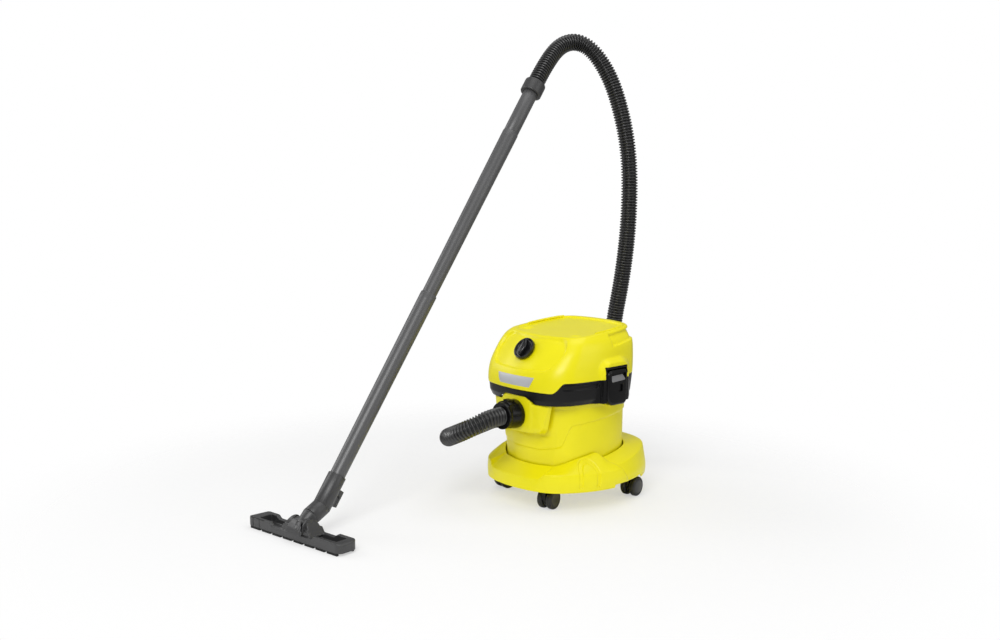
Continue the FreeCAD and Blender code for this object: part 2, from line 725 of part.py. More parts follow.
def side_bulge():
    """Swelling of the right side that the latch is set into."""
    def ring(x, half, top):
        y0, y1 = LATCH_MID_Y - half, LATCH_MID_Y + half
        points = [
            Vec(x, y0, HEAD_ROWS[0][0]), Vec(x, y1, HEAD_ROWS[0][0]), Vec(x, y1, top - half / 2),
            Vec(x, y1 - half / 2, top), Vec(x, y0 + half / 2, top), Vec(x, y0, top - half / 2),
        ]
        return Part.makePolygon(points + points[:1])

    return Part.makeLoft([ring(*BULGE_ROOT), ring(*BULGE_FACE)], True, True)


def knob_point(out):
    tilt = math.radians(KNOB_TILT)
    return KNOB_FOOT + Vec(0, -math.cos(tilt), math.sin(tilt)) * out


def latch_surround():
    """Space taken by the frame round a latch, and the frame itself, on the right side."""
    y = (LATCH_MID_Y - SURROUND_HALF, LATCH_MID_Y + SURROUND_HALF)
    space = box((SURROUND_X[0], FAR), y, (HEAD_ROWS[0][0], SURROUND_TOP_Z))
    frame = box(SURROUND_X, y, (HEAD_ROWS[0][0], SURROUND_TOP_Z))
    gap = LATCH_HALF + FIT
    pocket_y = (LATCH_MID_Y - gap, LATCH_MID_Y + gap)
    pocket = box((SURROUND_BACK_X, FAR), pocket_y, (0, LATCH_PIN_Z + LATCH_EYE_R + 2))
    frame = frame.cut(pocket)
    pin_hole = rod(LATCH_PIN_R, latch_line(y[0] + 1), latch_line(y[1] - 1))
    return space, frame.fuse(ears()).cut(pin_hole).removeSplitter()


def latch_line(y):
    return Vec(LATCH_PIN_X, y, LATCH_PIN_Z)


def ears():
    """The two lugs of the latch frame that hold the hinge pin."""
    lugs = []
    for side in (-1, 1):
        y0 = LATCH_MID_Y + side * (LATCH_HALF + FIT)
        y1 = LATCH_MID_Y + side * SURROUND_HALF
        lugs.append(rod(LATCH_EYE_R, latch_line(y0), latch_line(y1)))
    return lugs[0].fuse(lugs[1])


def make_latch():
    """Right-hand latch, hung on its pin, with a grip recess and a square slot outside."""
    outer_x = LATCH_PIN_X + LATCH_EYE_R
    y = (LATCH_MID_Y - LATCH_HALF, LATCH_MID_Y + LATCH_HALF)
    eye = rod(LATCH_EYE_R, latch_line(y[0]), latch_line(y[1]))
    plate = box((LATCH_INNER_X, outer_x), y, (LATCH_BOTTOM_Z, LATCH_PIN_Z))
    lower = [e for e in plate.Edges if e.BoundBox.ZMax < LATCH_BOTTOM_Z + 1 and e.BoundBox.XLength > 1]
    plate = plate.makeFillet(LATCH_CORNER_R, lower)
    latch = fuse([eye, plate])
    grip_half = LATCH_GRIP[0] / 2
    grip_top = LATCH_PIN_Z - LATCH_EYE_R - 2
    grip_y = (LATCH_MID_Y - grip_half, LATCH_MID_Y + grip_half)
    grip = box((outer_x - LATCH_GRIP[2], FAR), grip_y, (grip_top - LATCH_GRIP[1], grip_top))
    slot_half = LATCH_SLOT[0] / 2
    slot_top = grip_top - LATCH_GRIP[1] - 6
    slot_y = (LATCH_MID_Y - slot_half, LATCH_MID_Y + slot_half)
    slot = box((outer_x - LATCH_SLOT[2], FAR), slot_y, (slot_top - LATCH_SLOT[1], slot_top))
    latch = latch.cut(grip).cut(slot)
    hole = rod(LATCH_PIN_R + SHAFT_FIT, latch_line(y[0] - 1), latch_line(y[1] + 1))
    return latch.cut(hole)


def make_latch_pin():
    reach = SURROUND_HALF - 1
    return rod(LATCH_PIN_R, latch_line(LATCH_MID_Y - reach), latch_line(LATCH_MID_Y + reach))


def make_badge():
    plate = [
        Vec(-BADGE_BOTTOM_HALF, -FAR, BADGE_Z[0]), Vec(BADGE_BOTTOM_HALF, -FAR, BADGE_Z[0]),
        Vec(BADGE_TOP_HALF, -FAR, BADGE_Z[1]), Vec(-BADGE_TOP_HALF, -FAR, BADGE_Z[1]),
    ]
    column = prism(plate, Vec(0, FAR, 0))
    return column.common(head_form(-BADGE_THICK)).cut(head_form(-BADGE_GAP))


def make_knob():
    base = rod(KNOB_R, knob_point(KNOB_PAD_PROUD + FIT), knob_point(KNOB_PAD_PROUD + FIT + KNOB_THICK))
    shaft_end = knob_point(KNOB_PAD_PROUD - KNOB_PAD_THICK - SWITCH_SHAFT_REACH)
    shaft = rod(KNOB_SHAFT_R, shaft_end, knob_point(KNOB_PAD_PROUD + 1))
    width, length, height = KNOB_GRIP
    grip = rounded_box((-width / 2, width / 2), (-length / 2, length / 2), (-1, height), width * 0.45)
    grip.rotate(ORIGIN, X_AXIS, 90 - KNOB_TILT)
    grip.translate(knob_point(KNOB_PAD_PROUD + FIT + KNOB_THICK))
    return fuse([base, shaft, grip])


def make_switch_body():
    width, length, depth = SWITCH_BODY
    body = box((-width / 2, width / 2), (-length / 2, length / 2), (-depth, 0))
    body.rotate(ORIGIN, X_AXIS, 90 - KNOB_TILT)
    body.translate(knob_point(KNOB_PAD_PROUD - KNOB_PAD_THICK))
    reach = KNOB_PAD_PROUD - KNOB_PAD_THICK - SWITCH_SHAFT_REACH - FIT
    return body.cut(rod(KNOB_SHAFT_R + SHAFT_FIT, knob_point(reach), knob_point(0)))


def grille_block(grow, y):
    half_w = GRILLE_SIZE[0] / 2 + grow
    half_h = GRILLE_SIZE[1] / 2 + grow
    return box((GRILLE_X - half_w, GRILLE_X + half_w), y, (GRILLE_Z - half_h, GRILLE_Z + half_h))


def make_grille():
    grille = grille_block(0, GRILLE_Y)
    pitch = GRILLE_SIZE[0] / (GRILLE_SLOTS + 1)
    half_h = GRILLE_SIZE[1] / 2 - 4
    for i in range(GRILLE_SLOTS):
        x = GRILLE_X - GRILLE_SIZE[0] / 2 + pitch * (i + 1)
        slot_x = (x - GRILLE_SLOT_W / 2, x + GRILLE_SLOT_W / 2)
        grille = grille.cut(box(slot_x, (0, FAR), (GRILLE_Z - half_h, GRILLE_Z + half_h)))
    return grille


def make_blower_port():
    return pipe(BLOWER_OUTER_R, BLOWER_R, blower_line(BLOWER_Y[0]), blower_line(BLOWER_Y[1]))


def make_cable_gland():
    start, end = GLAND_BOSS_Y
    sleeve = rod(GLAND_R, gland_line(start), gland_line(end))
    flange = rod(GLAND_FLANGE_R, gland_line(end), gland_line(end + 3))
    nose = Part.makeCone(GLAND_R, GLAND_R - 2, GLAND_OUT, gland_line(end), Y_AXIS)
    return fuse([sleeve, flange, nose]).cut(rod(GLAND_BORE_R, gland_line(0), gland_line(FAR)))


# Deck, filter and float under the head

def row_at(z):
    """Head outline at a height, between the two rows around it."""
    for low, high in zip(HEAD_ROWS, HEAD_ROWS[1:]):
        if low[0] <= z <= high[0]:
            share = (z - low[0]) / (high[0] - low[0])
            return tuple(a + (b - a) * share for a, b in zip(low[1:], high[1:]))
    return HEAD_ROWS[0][1:]


def make_motor_plate():
    size = row_at(PLATE_Z[0])
    plate = slab(size, PLATE_Z[0], PLATE_Z[1], HEAD_BULGE_R, HEAD_CORNER_R, HEAD_WALL + FIT)
    plate = plate.cut(rod(INTAKE_R, Vec(0, 0, 0), Vec(0, 0, FAR)))
    plate = plate.cut(hexagon_tool(2 * FIT, PROW_Y + 8 * HEAD_WALL))
    right, _ = latch_surround()
    plate = plate.cut(right).cut(mirrored_x(right))
    for x, y in post_places():
        for side in (-1, 1):
            plate = plate.cut(rod(SCREW_R + SHAFT_FIT, Vec(side * x, y, 0), Vec(side * x, y, FAR)))
    return plate


def make_screws():
    screws = []
    for x, y in post_places():
        for side in (-1, 1):
            foot = Vec(side * x, y, PLATE_Z[0])
            shank = rod(SCREW_R, foot - Z_AXIS, foot + Z_AXIS * SCREW_LENGTH)
            head = rod(SCREW_HEAD_R, foot - Z_AXIS * SCREW_HEAD_H, foot)
            screws.append(fuse([shank, head]))
    return Part.Compound(screws)


def make_seal():
    z = (TUB_NECK_Z + SEAL_GAP, PLATE_Z[0])
    outer = slab(neck_size(), z[0], z[1], TUB_BULGE_R, TUB_CORNER_R, -seal_grow())
    inner = slab(neck_size(), z[0] - 1, z[1] + 1, TUB_BULGE_R, TUB_CORNER_R, TUB_WALL + seal_grow())
    return outer.cut(inner)


def make_float_cage():
    flange_z = PLATE_Z[0] - CAGE_FLANGE_THICK
    flange = upright(CAGE_FLANGE_R, flange_z, PLATE_Z[0])
    wall = upright(CAGE_R, CAGE_BOTTOM_Z, PLATE_Z[0])
    hollow = upright(CAGE_R - CAGE_WALL, CAGE_BOTTOM_Z + CAGE_FLOOR, flange_z)
    cage = fuse([flange, wall]).cut(hollow).cut(upright(INTAKE_R, flange_z - CAGE_FLANGE_THICK, FAR))
    window = box((0, FAR / 8), (-CAGE_WINDOW_W / 2, CAGE_WINDOW_W / 2), CAGE_WINDOW_Z)
    for tool in around(window, CAGE_WINDOWS):
        cage = cage.cut(tool)
    return cage


def make_float():
    return Part.makeSphere(FLOAT_R, Vec(0, 0, float_z()))


def float_z():
    return CAGE_BOTTOM_Z + CAGE_FLOOR + FIT + FLOAT_R


def filter_levels():
    return CAGE_BOTTOM_Z, PLATE_Z[0] - CAGE_FLANGE_THICK


def make_filter():
    """Pleated paper ring between two end rings."""
    low, high = filter_levels()
    ring_h = 6.0
    points = []
    for i in range(2 * FILTER_PLEATS):
        radius = FILTER_R - 1 - FILTER_PLEAT_DEPTH * (i % 2)
        angle = math.pi * i / FILTER_PLEATS
        points.append(Vec(radius * math.cos(angle), radius * math.sin(angle), low + ring_h))
    pleats = prism(points, Vec(0, 0, high - low - 2 * ring_h))
    rings = [upright(FILTER_R, low, low + ring_h), upright(FILTER_R, high - ring_h, high)]
    return fuse([pleats] + rings).cut(upright(FILTER_INNER_R, 0, FAR))


def make_filter_cap():
    low = filter_levels()[0]
    width, thick, height = FILTER_KNOB
    cap = upright(FILTER_R, low - FILTER_CAP_THICK, low)
    knob_z = (low - FILTER_CAP_THICK - height, low - 1)
    knob = rounded_box((-width / 2, width / 2), (-thick / 2, thick / 2), knob_z, thick * 0.45)
    return fuse([cap, knob])


# Motor, upright on the deck

def motor_levels():
    """Heights of the stack: ring, fan case, stator, bracket."""
    case_z = PLATE_Z[1] + RING_THICK
    stator_z = case_z + FAN_CASE_HEIGHT
    bracket_z = stator_z + STATOR_H
    return case_z, stator_z, bracket_z


def upright(radius, z0, z1):
    return rod(radius, Vec(0, 0, z0), Vec(0, 0, z1))


def make_motor_ring():
    return upright(RING_R[1], PLATE_Z[1], PLATE_Z[1] + RING_THICK).cut(upright(RING_R[0], 0, FAR))


def make_fan_case():
    z0, z1, _ = motor_levels()
    case = upright(FAN_CASE_R, z0, z1)
    inside = upright(FAN_CASE_R - FAN_CASE_WALL, z0 + FAN_CASE_WALL, z1 - FAN_CASE_WALL)
    hub = upright(FAN_HUB_R, z1 - FAN_HUB_THICK, z1)
    case = fuse([case.cut(inside), hub])
    case = case.cut(upright(INTAKE_R, 0, z0 + 2 * FAN_CASE_WALL))
    case = case.cut(upright(BEARING_R, z1 - BEARING_H, FAR)).cut(upright(MOTOR_SHAFT_R + 1, 0, FAR))
    vent = rod(FAN_VENT_R, Vec(FAN_VENT_PCD / 2, 0, z1 - 2 * FAN_CASE_WALL), Vec(FAN_VENT_PCD / 2, 0, FAR))
    for tool in around(vent, FAN_VENTS):
        case = case.cut(tool)
    return case


def make_bearing(z0):
    return upright(BEARING_R, z0, z0 + BEARING_H).cut(upright(MOTOR_SHAFT_R + SHAFT_FIT, 0, FAR))


def make_impeller():
    z0 = motor_levels()[0] + IMPELLER_LIFT
    z1 = z0 + IMPELLER_HEIGHT
    low = upright(IMPELLER_R, z0, z0 + IMPELLER_PLATE).cut(upright(IMPELLER_EYE_R, 0, FAR))
    high = upright(IMPELLER_R, z1 - IMPELLER_PLATE, z1)
    hub = upright(2 * MOTOR_SHAFT_R, z0, z1)
    blade = box((2 * MOTOR_SHAFT_R - 1, IMPELLER_R - 1), (-IMPELLER_PLATE / 2, IMPELLER_PLATE / 2), (z0, z1))
    blade.rotate(Vec(2 * MOTOR_SHAFT_R, 0, 0), Z_AXIS, 25)
    blade = blade.common(upright(IMPELLER_R - 1, z0, z1))
    return fuse([low, high, hub] + around(blade, IMPELLER_BLADES)).cut(upright(MOTOR_SHAFT_R, 0, FAR))


def make_stator():
    _, z0, z1 = motor_levels()
    flats = box((-STATOR_R, STATOR_R), (-STATOR_R * 0.86, STATOR_R * 0.86), (z0, z1))
    return upright(STATOR_R, z0, z1).common(flats).cut(upright(STATOR_BORE_R, 0, FAR))


def bracket_top():
    return motor_levels()[2] + BRACKET_H


def make_bracket():
    """Cap on the stator that carries the upper bearing and the brushes."""
    z0 = motor_levels()[2]
    z1 = bracket_top()
    cap = upright(STATOR_R, z0, z1).cut(upright(STATOR_R - BRACKET_WALL, z0 - 1, z1 - BEARING_H))
    cap = cap.cut(upright(BEARING_R, z1 - BEARING_H + 1, FAR)).cut(upright(MOTOR_SHAFT_R + 1, 0, FAR))
    half = BRACKET_WINDOW / 2
    window = box((0, FAR / 8), (-half, half), (z0 + 2, z1 - BEARING_H - 2))
    for tool in around(window, 2):
        cap = cap.cut(tool)
    ledge = upright(STATOR_R, z0, z0 + 2).cut(upright(STATOR_BORE_R + 6, 0, FAR))
    return fuse([cap, ledge])


def make_brushes():
    """Carbon brushes in their holders, one each side of the commutator."""
    length, width, height = BRUSH[1], BRUSH[0], BRUSH[2]
    z0 = commutator_z() + (COMMUTATOR_H - height) / 2
    reach = STATOR_R - BRACKET_WALL - FIT
    brushes = []
    for side in (-1, 1):
        y = sorted((side * (COMMUTATOR_R + FIT), side * reach))
        brushes.append(box((-width / 2, width / 2), y, (z0, z0 + height)))
    return Part.Compound(brushes)


def commutator_z():
    return motor_levels()[2] + 4


def make_rotor():
    case_z, stator_z, _ = motor_levels()
    shaft = upright(MOTOR_SHAFT_R, case_z + IMPELLER_LIFT, bracket_top() + COOL_FAN_H + 2)
    mid = stator_z + STATOR_H / 2
    armature = upright(ARMATURE_R, mid - ARMATURE_H / 2, mid + ARMATURE_H / 2)
    commutator = upright(COMMUTATOR_R, commutator_z(), commutator_z() + COMMUTATOR_H)
    link = upright(MOTOR_SHAFT_R + 4, mid, commutator_z())
    return fuse([shaft, armature, link, commutator])


def make_cooling_fan():
    z0 = bracket_top() + 1
    hub = upright(8, z0, z0 + COOL_FAN_H)
    plate = upright(COOL_FAN_R, z0, z0 + 1)
    blade = box((7, COOL_FAN_R - 1), (-0.6, 0.6), (z0, z0 + COOL_FAN_H))
    return fuse([hub, plate] + around(blade, COOL_FAN_BLADES)).cut(upright(MOTOR_SHAFT_R, 0, FAR))


# Hose connector

def tab_box(grow, deeper):
    """Release tab on top of the connector, grown all round by a clearance."""
    width, length, height = TAB_SIZE
    top = PORT_Z + CONNECTOR_FLANGE_R + height - TAB_SINK
    y0 = PROW_Y - FIT - CONNECTOR_FLANGE_T - 4
    y = (y0 - length - grow, y0 + grow)
    return box((-width / 2 - grow, width / 2 + grow), y, (top - height - grow - deeper, top))


def make_connector():
    back = PROW_Y - FIT
    plug = rod(PORT_R - FIT, port_line(back), port_line(PORT_INNER_Y - 1))
    flange_end = back - CONNECTOR_FLANGE_T
    cuff_end = HOSE_START_Y
    cuff_start = cuff_end + CONNECTOR_CUFF_T
    flange = rod(CONNECTOR_FLANGE_R, port_line(flange_end), port_line(back))
    waist_length = flange_end - cuff_start
    waist = Part.makeCone(CONNECTOR_FLANGE_R, CONNECTOR_WAIST_R, waist_length, port_line(flange_end), -Y_AXIS)
    cuff = rod(CONNECTOR_CUFF_R, port_line(cuff_end), port_line(cuff_start))
    body = fuse([plug, flange, waist, cuff])
    body = body.cut(rod(HOSE_BORE_R, port_line(-FAR), port_line(0)))
    rib_z = (PORT_Z + HOSE_BORE_R + 3, PORT_Z + CONNECTOR_FLANGE_R - 1)
    rib = box((-TAB_SIZE[0], TAB_SIZE[0]), (cuff_start, flange_end), rib_z)
    limit = rod(CONNECTOR_FLANGE_R, port_line(cuff_start), port_line(flange_end))
    body = fuse([body, rib.common(limit)])
    return body.cut(tab_box(FIT, TAB_TRAVEL))


# Nozzle, neck and wand

def nozzle_set(shape):
    shape = shape.copy()
    shape.rotate(ORIGIN, Z_AXIS, NOZZLE_TURN)
    shape.translate(NOZZLE_PLACE)
    return shape


def wand_set(shape):
    """From wand coordinates, z along the tubes from the sleeve's top, to the machine."""
    shape = shape.copy()
    shape.rotate(ORIGIN, X_AXIS, -LEAN)
    lean = math.radians(LEAN)
    top = Vec(0, BEND_Y + SLEEVE_LENGTH * math.sin(lean), BEND_Z + SLEEVE_LENGTH * math.cos(lean))
    shape.translate(top)
    return nozzle_set(shape)


def wand_point(s):
    return wand_set(Part.Vertex(0, 0, s)).Point


def make_nozzle_body():
    ends = (NOZZLE_OFFSET - NOZZLE_LENGTH / 2, NOZZLE_OFFSET + NOZZLE_LENGTH / 2)
    body = rounded_box(ends, (0, NOZZLE_DEPTH), (NOZZLE_BOTTOM, NOZZLE_TOP), NOZZLE_CORNER_R)
    floor_z = NOZZLE_BOTTOM + NOZZLE_FLOOR
    recess = rounded_box(RECESS, RECESS_Y, (floor_z, FAR), NOZZLE_WALL)
    body = body.cut(recess).cut(mirrored_x(recess))
    body = body.cut(dip_tool(FRONT_DIP, (-1, RECESS_Y[0] + 1)))
    body = body.cut(dip_tool(REAR_DIP, (RECESS_Y[1] - 1, NOZZLE_DEPTH + 1)))
    mouth_half = MOUTH_LENGTH / 2
    channel = box((-mouth_half, mouth_half), MOUTH, (0, NOZZLE_BOTTOM + 2))
    throat = box((-BARREL_HALF, BARREL_HALF), MOUTH, (0, PIVOT_Z))
    cheek_face = [
        Vec(BARREL_HALF + FIT, 4, DIP_Z - 2), Vec(CHEEK_FOOT_HALF, 4, DIP_Z - 2),
        Vec(BARREL_HALF + CHEEK_THICK + 4, 4, CHEEK_TOP_Z - 6), Vec(BARREL_HALF + CHEEK_THICK, 4, CHEEK_TOP_Z),
        Vec(BARREL_HALF + FIT, 4, CHEEK_TOP_Z),
    ]
    cheek = prism(cheek_face, Vec(0, NOZZLE_DEPTH - 8, 0))
    dome = rod(CHEEK_TOP_Z - PIVOT_Z, pivot_point(-FAR / 4), pivot_point(FAR / 4))
    skirt = box((-FAR, FAR), (0, NOZZLE_DEPTH), (0, PIVOT_Z))
    cheek = cheek.common(dome.fuse(skirt))
    front = box((-BARREL_HALF - 2, BARREL_HALF + 2), (0, 8), (DIP_Z - 2, PIVOT_Z))
    body = fuse([body, cheek, mirrored_x(cheek), front])
    sweep = rod(BARREL_R + FIT, pivot_point(-BARREL_HALF - FIT), pivot_point(BARREL_HALF + FIT))
    back = box((-NECK_R - 3, NECK_R + 3), (PIVOT_Y, NOZZLE_DEPTH + 1), (floor_z, FAR))
    body = body.cut(channel).cut(throat).cut(sweep).cut(back)
    for y in STRIP_Y:
        body = body.cut(box(strip_ends(), (y, y + STRIP_WIDTH), (0, STRIP_HEIGHT)))
    return body.cut(rod(PIVOT_PIN_R, pivot_point(-pin_reach()), pivot_point(pin_reach())))


def dip_tool(x, y):
    """Cuts the lowered middle of a rail, with a ramp at each end."""
    points = [
        Vec(x[0] - DIP_RAMP / 2, y[0], NOZZLE_TOP), Vec(x[0] + DIP_RAMP / 2, y[0], DIP_Z),
        Vec(x[1] - DIP_RAMP / 2, y[0], DIP_Z), Vec(x[1] + DIP_RAMP / 2, y[0], NOZZLE_TOP),
        Vec(x[1], y[0], FAR), Vec(x[0], y[0], FAR),
    ]
    return prism(points, Vec(0, y[1] - y[0], 0))


def pin_reach():
    return BARREL_HALF + CHEEK_THICK - 2


def make_pivot_pins():
    """Two stub pins, one in each cheek, that carry the neck's barrel."""
    pins = []
    for side in (-1, 1):
        x0 = side * (BARREL_HALF - CHEEK_THICK)
        x1 = side * pin_reach()
        pins.append(rod(PIVOT_PIN_R, pivot_point(x0), pivot_point(x1)))
    return Part.Compound(pins)


def strip_ends():
    return NOZZLE_OFFSET - STRIP_LENGTH / 2, NOZZLE_OFFSET + STRIP_LENGTH / 2


def make_strip(y):
    """Lip strip with gaps along its lower edge, down to the floor."""
    strip = box(strip_ends(), (y, y + STRIP_WIDTH), (0, STRIP_HEIGHT))
    pitch = STRIP_LENGTH / STRIP_TEETH
    half_gap = STRIP_GAP[0] / 2
    for i in range(1, STRIP_TEETH):
        x = strip_ends()[0] + pitch * i
        strip = strip.cut(box((x - half_gap, x + half_gap), (0, NOZZLE_DEPTH), (0, STRIP_GAP[1])))
    return strip


def make_neck():
    """Barrel on the pivot and the short tube that rises back from it."""
    rise = math.radians(NECK_RISE)
    along = Vec(0, math.cos(rise), math.sin(rise))
    bend = Vec(0, BEND_Y, BEND_Z)
    foot_gap = 34.0
    foot = bend - along * foot_gap
    tube = rod(NECK_R, foot, bend)
    barrel = rod(BARREL_R, pivot_point(-BARREL_HALF), pivot_point(BARREL_HALF))
    run = foot - pivot_point()
    socket = Part.makeCone(BARREL_R, NECK_R, run.Length, pivot_point(), run)
    neck = fuse([barrel, socket, tube])
    lean = math.radians(LEAN)
    half_turn = Vec(0, math.cos(rise) + math.sin(lean), math.sin(rise) + math.cos(lean)).normalize()
    cutter = Part.makeBox(FAR, FAR, FAR, Vec(-FAR / 2, -FAR / 2, 0))
    tip = math.degrees(math.atan2(half_turn.y, half_turn.z))
    cutter.rotate(ORIGIN, X_AXIS, -tip)
    cutter.translate(bend)
    neck = neck.cut(cutter)
    bore = rod(NECK_R - NECK_WALL, foot, bend + along * 10)
    throat = rod(BARREL_R - 3, pivot_point() - Z_AXIS * FAR / 8, pivot_point())
    link = rod(BARREL_R - 3, pivot_point(), foot + along)
    neck = neck.cut(bore).cut(link).cut(throat)
    return neck.cut(rod(PIVOT_PIN_R + SHAFT_FIT, pivot_point(-FAR), pivot_point(FAR)))


def pivot_point(x=0.0):
    return Vec(x, PIVOT_Y, PIVOT_Z)


def make_sleeve():
    """Sleeve of the nozzle that the lower tube is pushed into; mitred to the neck."""
    rise = math.radians(NECK_RISE)
    lean = math.radians(LEAN)
    low = -SLEEVE_LENGTH
    outer = Part.makeCylinder(SLEEVE_R, SLEEVE_LENGTH + SLEEVE_R, Vec(0, 0, low - SLEEVE_R), Z_AXIS)
    inner_r = SLEEVE_R - NECK_WALL
    stop = -SOCKET_DEPTH - FIT
    bore = Part.makeCylinder(inner_r - 2, 2 * SLEEVE_LENGTH, Vec(0, 0, low - SLEEVE_R - 1), Z_AXIS)
    socket_r = (TUBE_SMALL_R + FIT / 3, plug_radius(SOCKET_DEPTH) + FIT / 3)
    socket = Part.makeCone(socket_r[0], socket_r[1], -stop, Vec(0, 0, stop), Z_AXIS)
    sleeve = outer.cut(bore).cut(socket)
    half_angle = math.degrees((math.pi / 2 - rise - lean) / 2)
    cutter = Part.makeBox(FAR, FAR, FAR, Vec(-FAR / 2, -FAR / 2, -FAR))
    cutter.rotate(ORIGIN, X_AXIS, -half_angle)
    cutter.translate(Vec(0, 0, low))
    return sleeve.cut(cutter)


def make_hook():
    """Parking hook: a plate hanging off the back of the sleeve, open at its lower end."""
    half = HOOK_WIDTH / 2
    plate = box((-half, half), HOOK_PLATE, HOOK_S)
    root = box((-half, half), (SLEEVE_R / 2, HOOK_PLATE[1]), HOOK_ROOT_S)
    hook = fuse([plate, root])
    return hook.cut(Part.makeCylinder(SLEEVE_R, FAR, Vec(0, 0, -FAR / 2), Z_AXIS))


def make_tube(start, visible, top_r):
    """Tapered wand tube: plugged in below start, with a socket at its upper end."""
    low = start - SOCKET_DEPTH
    high = start + visible
    length = high - low
    tube = Part.makeCone(TUBE_SMALL_R, top_r, length, Vec(0, 0, low), Z_AXIS)
    bore = Part.makeCone(TUBE_SMALL_R - TUBE_WALL, top_r - 2 * TUBE_WALL, length, Vec(0, 0, low), Z_AXIS)
    socket_r = (TUBE_SMALL_R + FIT / 3, plug_radius(SOCKET_DEPTH) + FIT / 3)
    depth = SOCKET_DEPTH + FIT
    socket = Part.makeCone(socket_r[0], socket_r[1], depth, Vec(0, 0, high - depth), Z_AXIS)
    return tube.cut(bore).cut(socket)


def plug_radius(depth):
    """Outside radius of a tube, depth above its small end."""
    return TUBE_SMALL_R + (TUBE_LARGE_R - TUBE_SMALL_R) * depth / (TUBE_VISIBLE + SOCKET_DEPTH)


def hand_start():
    return 2 * TUBE_VISIBLE


def cuff_top():
    return hand_start() + HAND_LENGTH + CUFF_LENGTH


def make_hand_piece():
    low = hand_start() - SOCKET_DEPTH
    high = hand_start() + HAND_LENGTH + CUFF_LENGTH / 2
    taper = Part.makeCone(TUBE_SMALL_R, plug_radius(SOCKET_DEPTH), SOCKET_DEPTH, Vec(0, 0, low), Z_AXIS)
    grip = Part.makeCylinder(TUBE_SMALL_R + 1.4, high - hand_start(), Vec(0, 0, hand_start()), Z_AXIS)
    bore = Part.makeCylinder(TUBE_SMALL_R - TUBE_WALL, FAR, Vec(0, 0, low), Z_AXIS)
    return fuse([taper, grip]).cut(bore)


def make_cuff():
    """Ring at the wand end of the hose, turning on the hand piece."""
    low = hand_start() + HAND_LENGTH
    high = cuff_top()
    ring = Part.makeCylinder(CUFF_R, CUFF_LENGTH, Vec(0, 0, low), Z_AXIS)
    ring = ring.makeFillet(CUFF_LIP, [e for e in ring.Edges if e.Curve.TypeId == "Part::GeomCircle"])
    hole = Part.makeCylinder(TUBE_SMALL_R + 1.4 + SHAFT_FIT, CUFF_LENGTH / 2 + FIT, Vec(0, 0, low), Z_AXIS)
    bore = Part.makeCylinder(HOSE_BORE_R - 3, 2 * CUFF_LENGTH, Vec(0, 0, low), Z_AXIS)
    return ring.cut(hole).cut(bore), high


# The free hose

def hose_points():
    end = wand_point(cuff_top())
    last = wand_point(cuff_top() + HOSE_LAST_RUN)
    return [Vec(*p) for p in HOSE_ROUTE] + [last, end]


def hose_path(points):
    """Straight runs joined by arcs as large as the runs allow; prints each radius."""
    edges = []
    here = points[0]
    for before, corner, after in zip(points, points[1:], points[2:]):
        run_in = corner - before
        run_out = after - corner
        short = min(run_in.Length, run_out.Length)
        u = Vec(run_in).normalize()
        w = Vec(run_out).normalize()
        turn = u.getAngle(w)
        reach = 0.45 * short
        radius = reach / math.tan(turn / 2)
        start = corner - u * reach
        end = corner + w * reach
        inward = (w - u).normalize()
        middle = corner + inward * (radius / math.cos(turn / 2) - radius)
        edges.append(Part.LineSegment(here, start).toShape())
        edges.append(Part.Arc(start, middle, end).toShape())
        print("hose turn %5.1f deg, run %6.1f, radius %7.1f = %4.1f diameters"
              % (math.degrees(turn), run_in.Length, radius, radius / (2 * HOSE_R)))
        here = end
    edges.append(Part.LineSegment(here, points[-1]).toShape())
    return Part.Wire(edges)


def make_hose():
    points = hose_points()
    path = hose_path(points)

    def swept(radius):
        first = Vec(points[1] - points[0]).normalize()
        section = Part.Wire(Part.Circle(points[0], first, radius).toShape())
        return path.makePipeShell([section], True, False, 2)

    hose = swept(HOSE_R).cut(swept(HOSE_BORE_R))
    expected = math.pi * (HOSE_R ** 2 - HOSE_BORE_R ** 2) * path.Length
    print("hose length %.1f, volume / (section x length) %.4f" % (path.Length, hose.Volume / expected))
    return hose


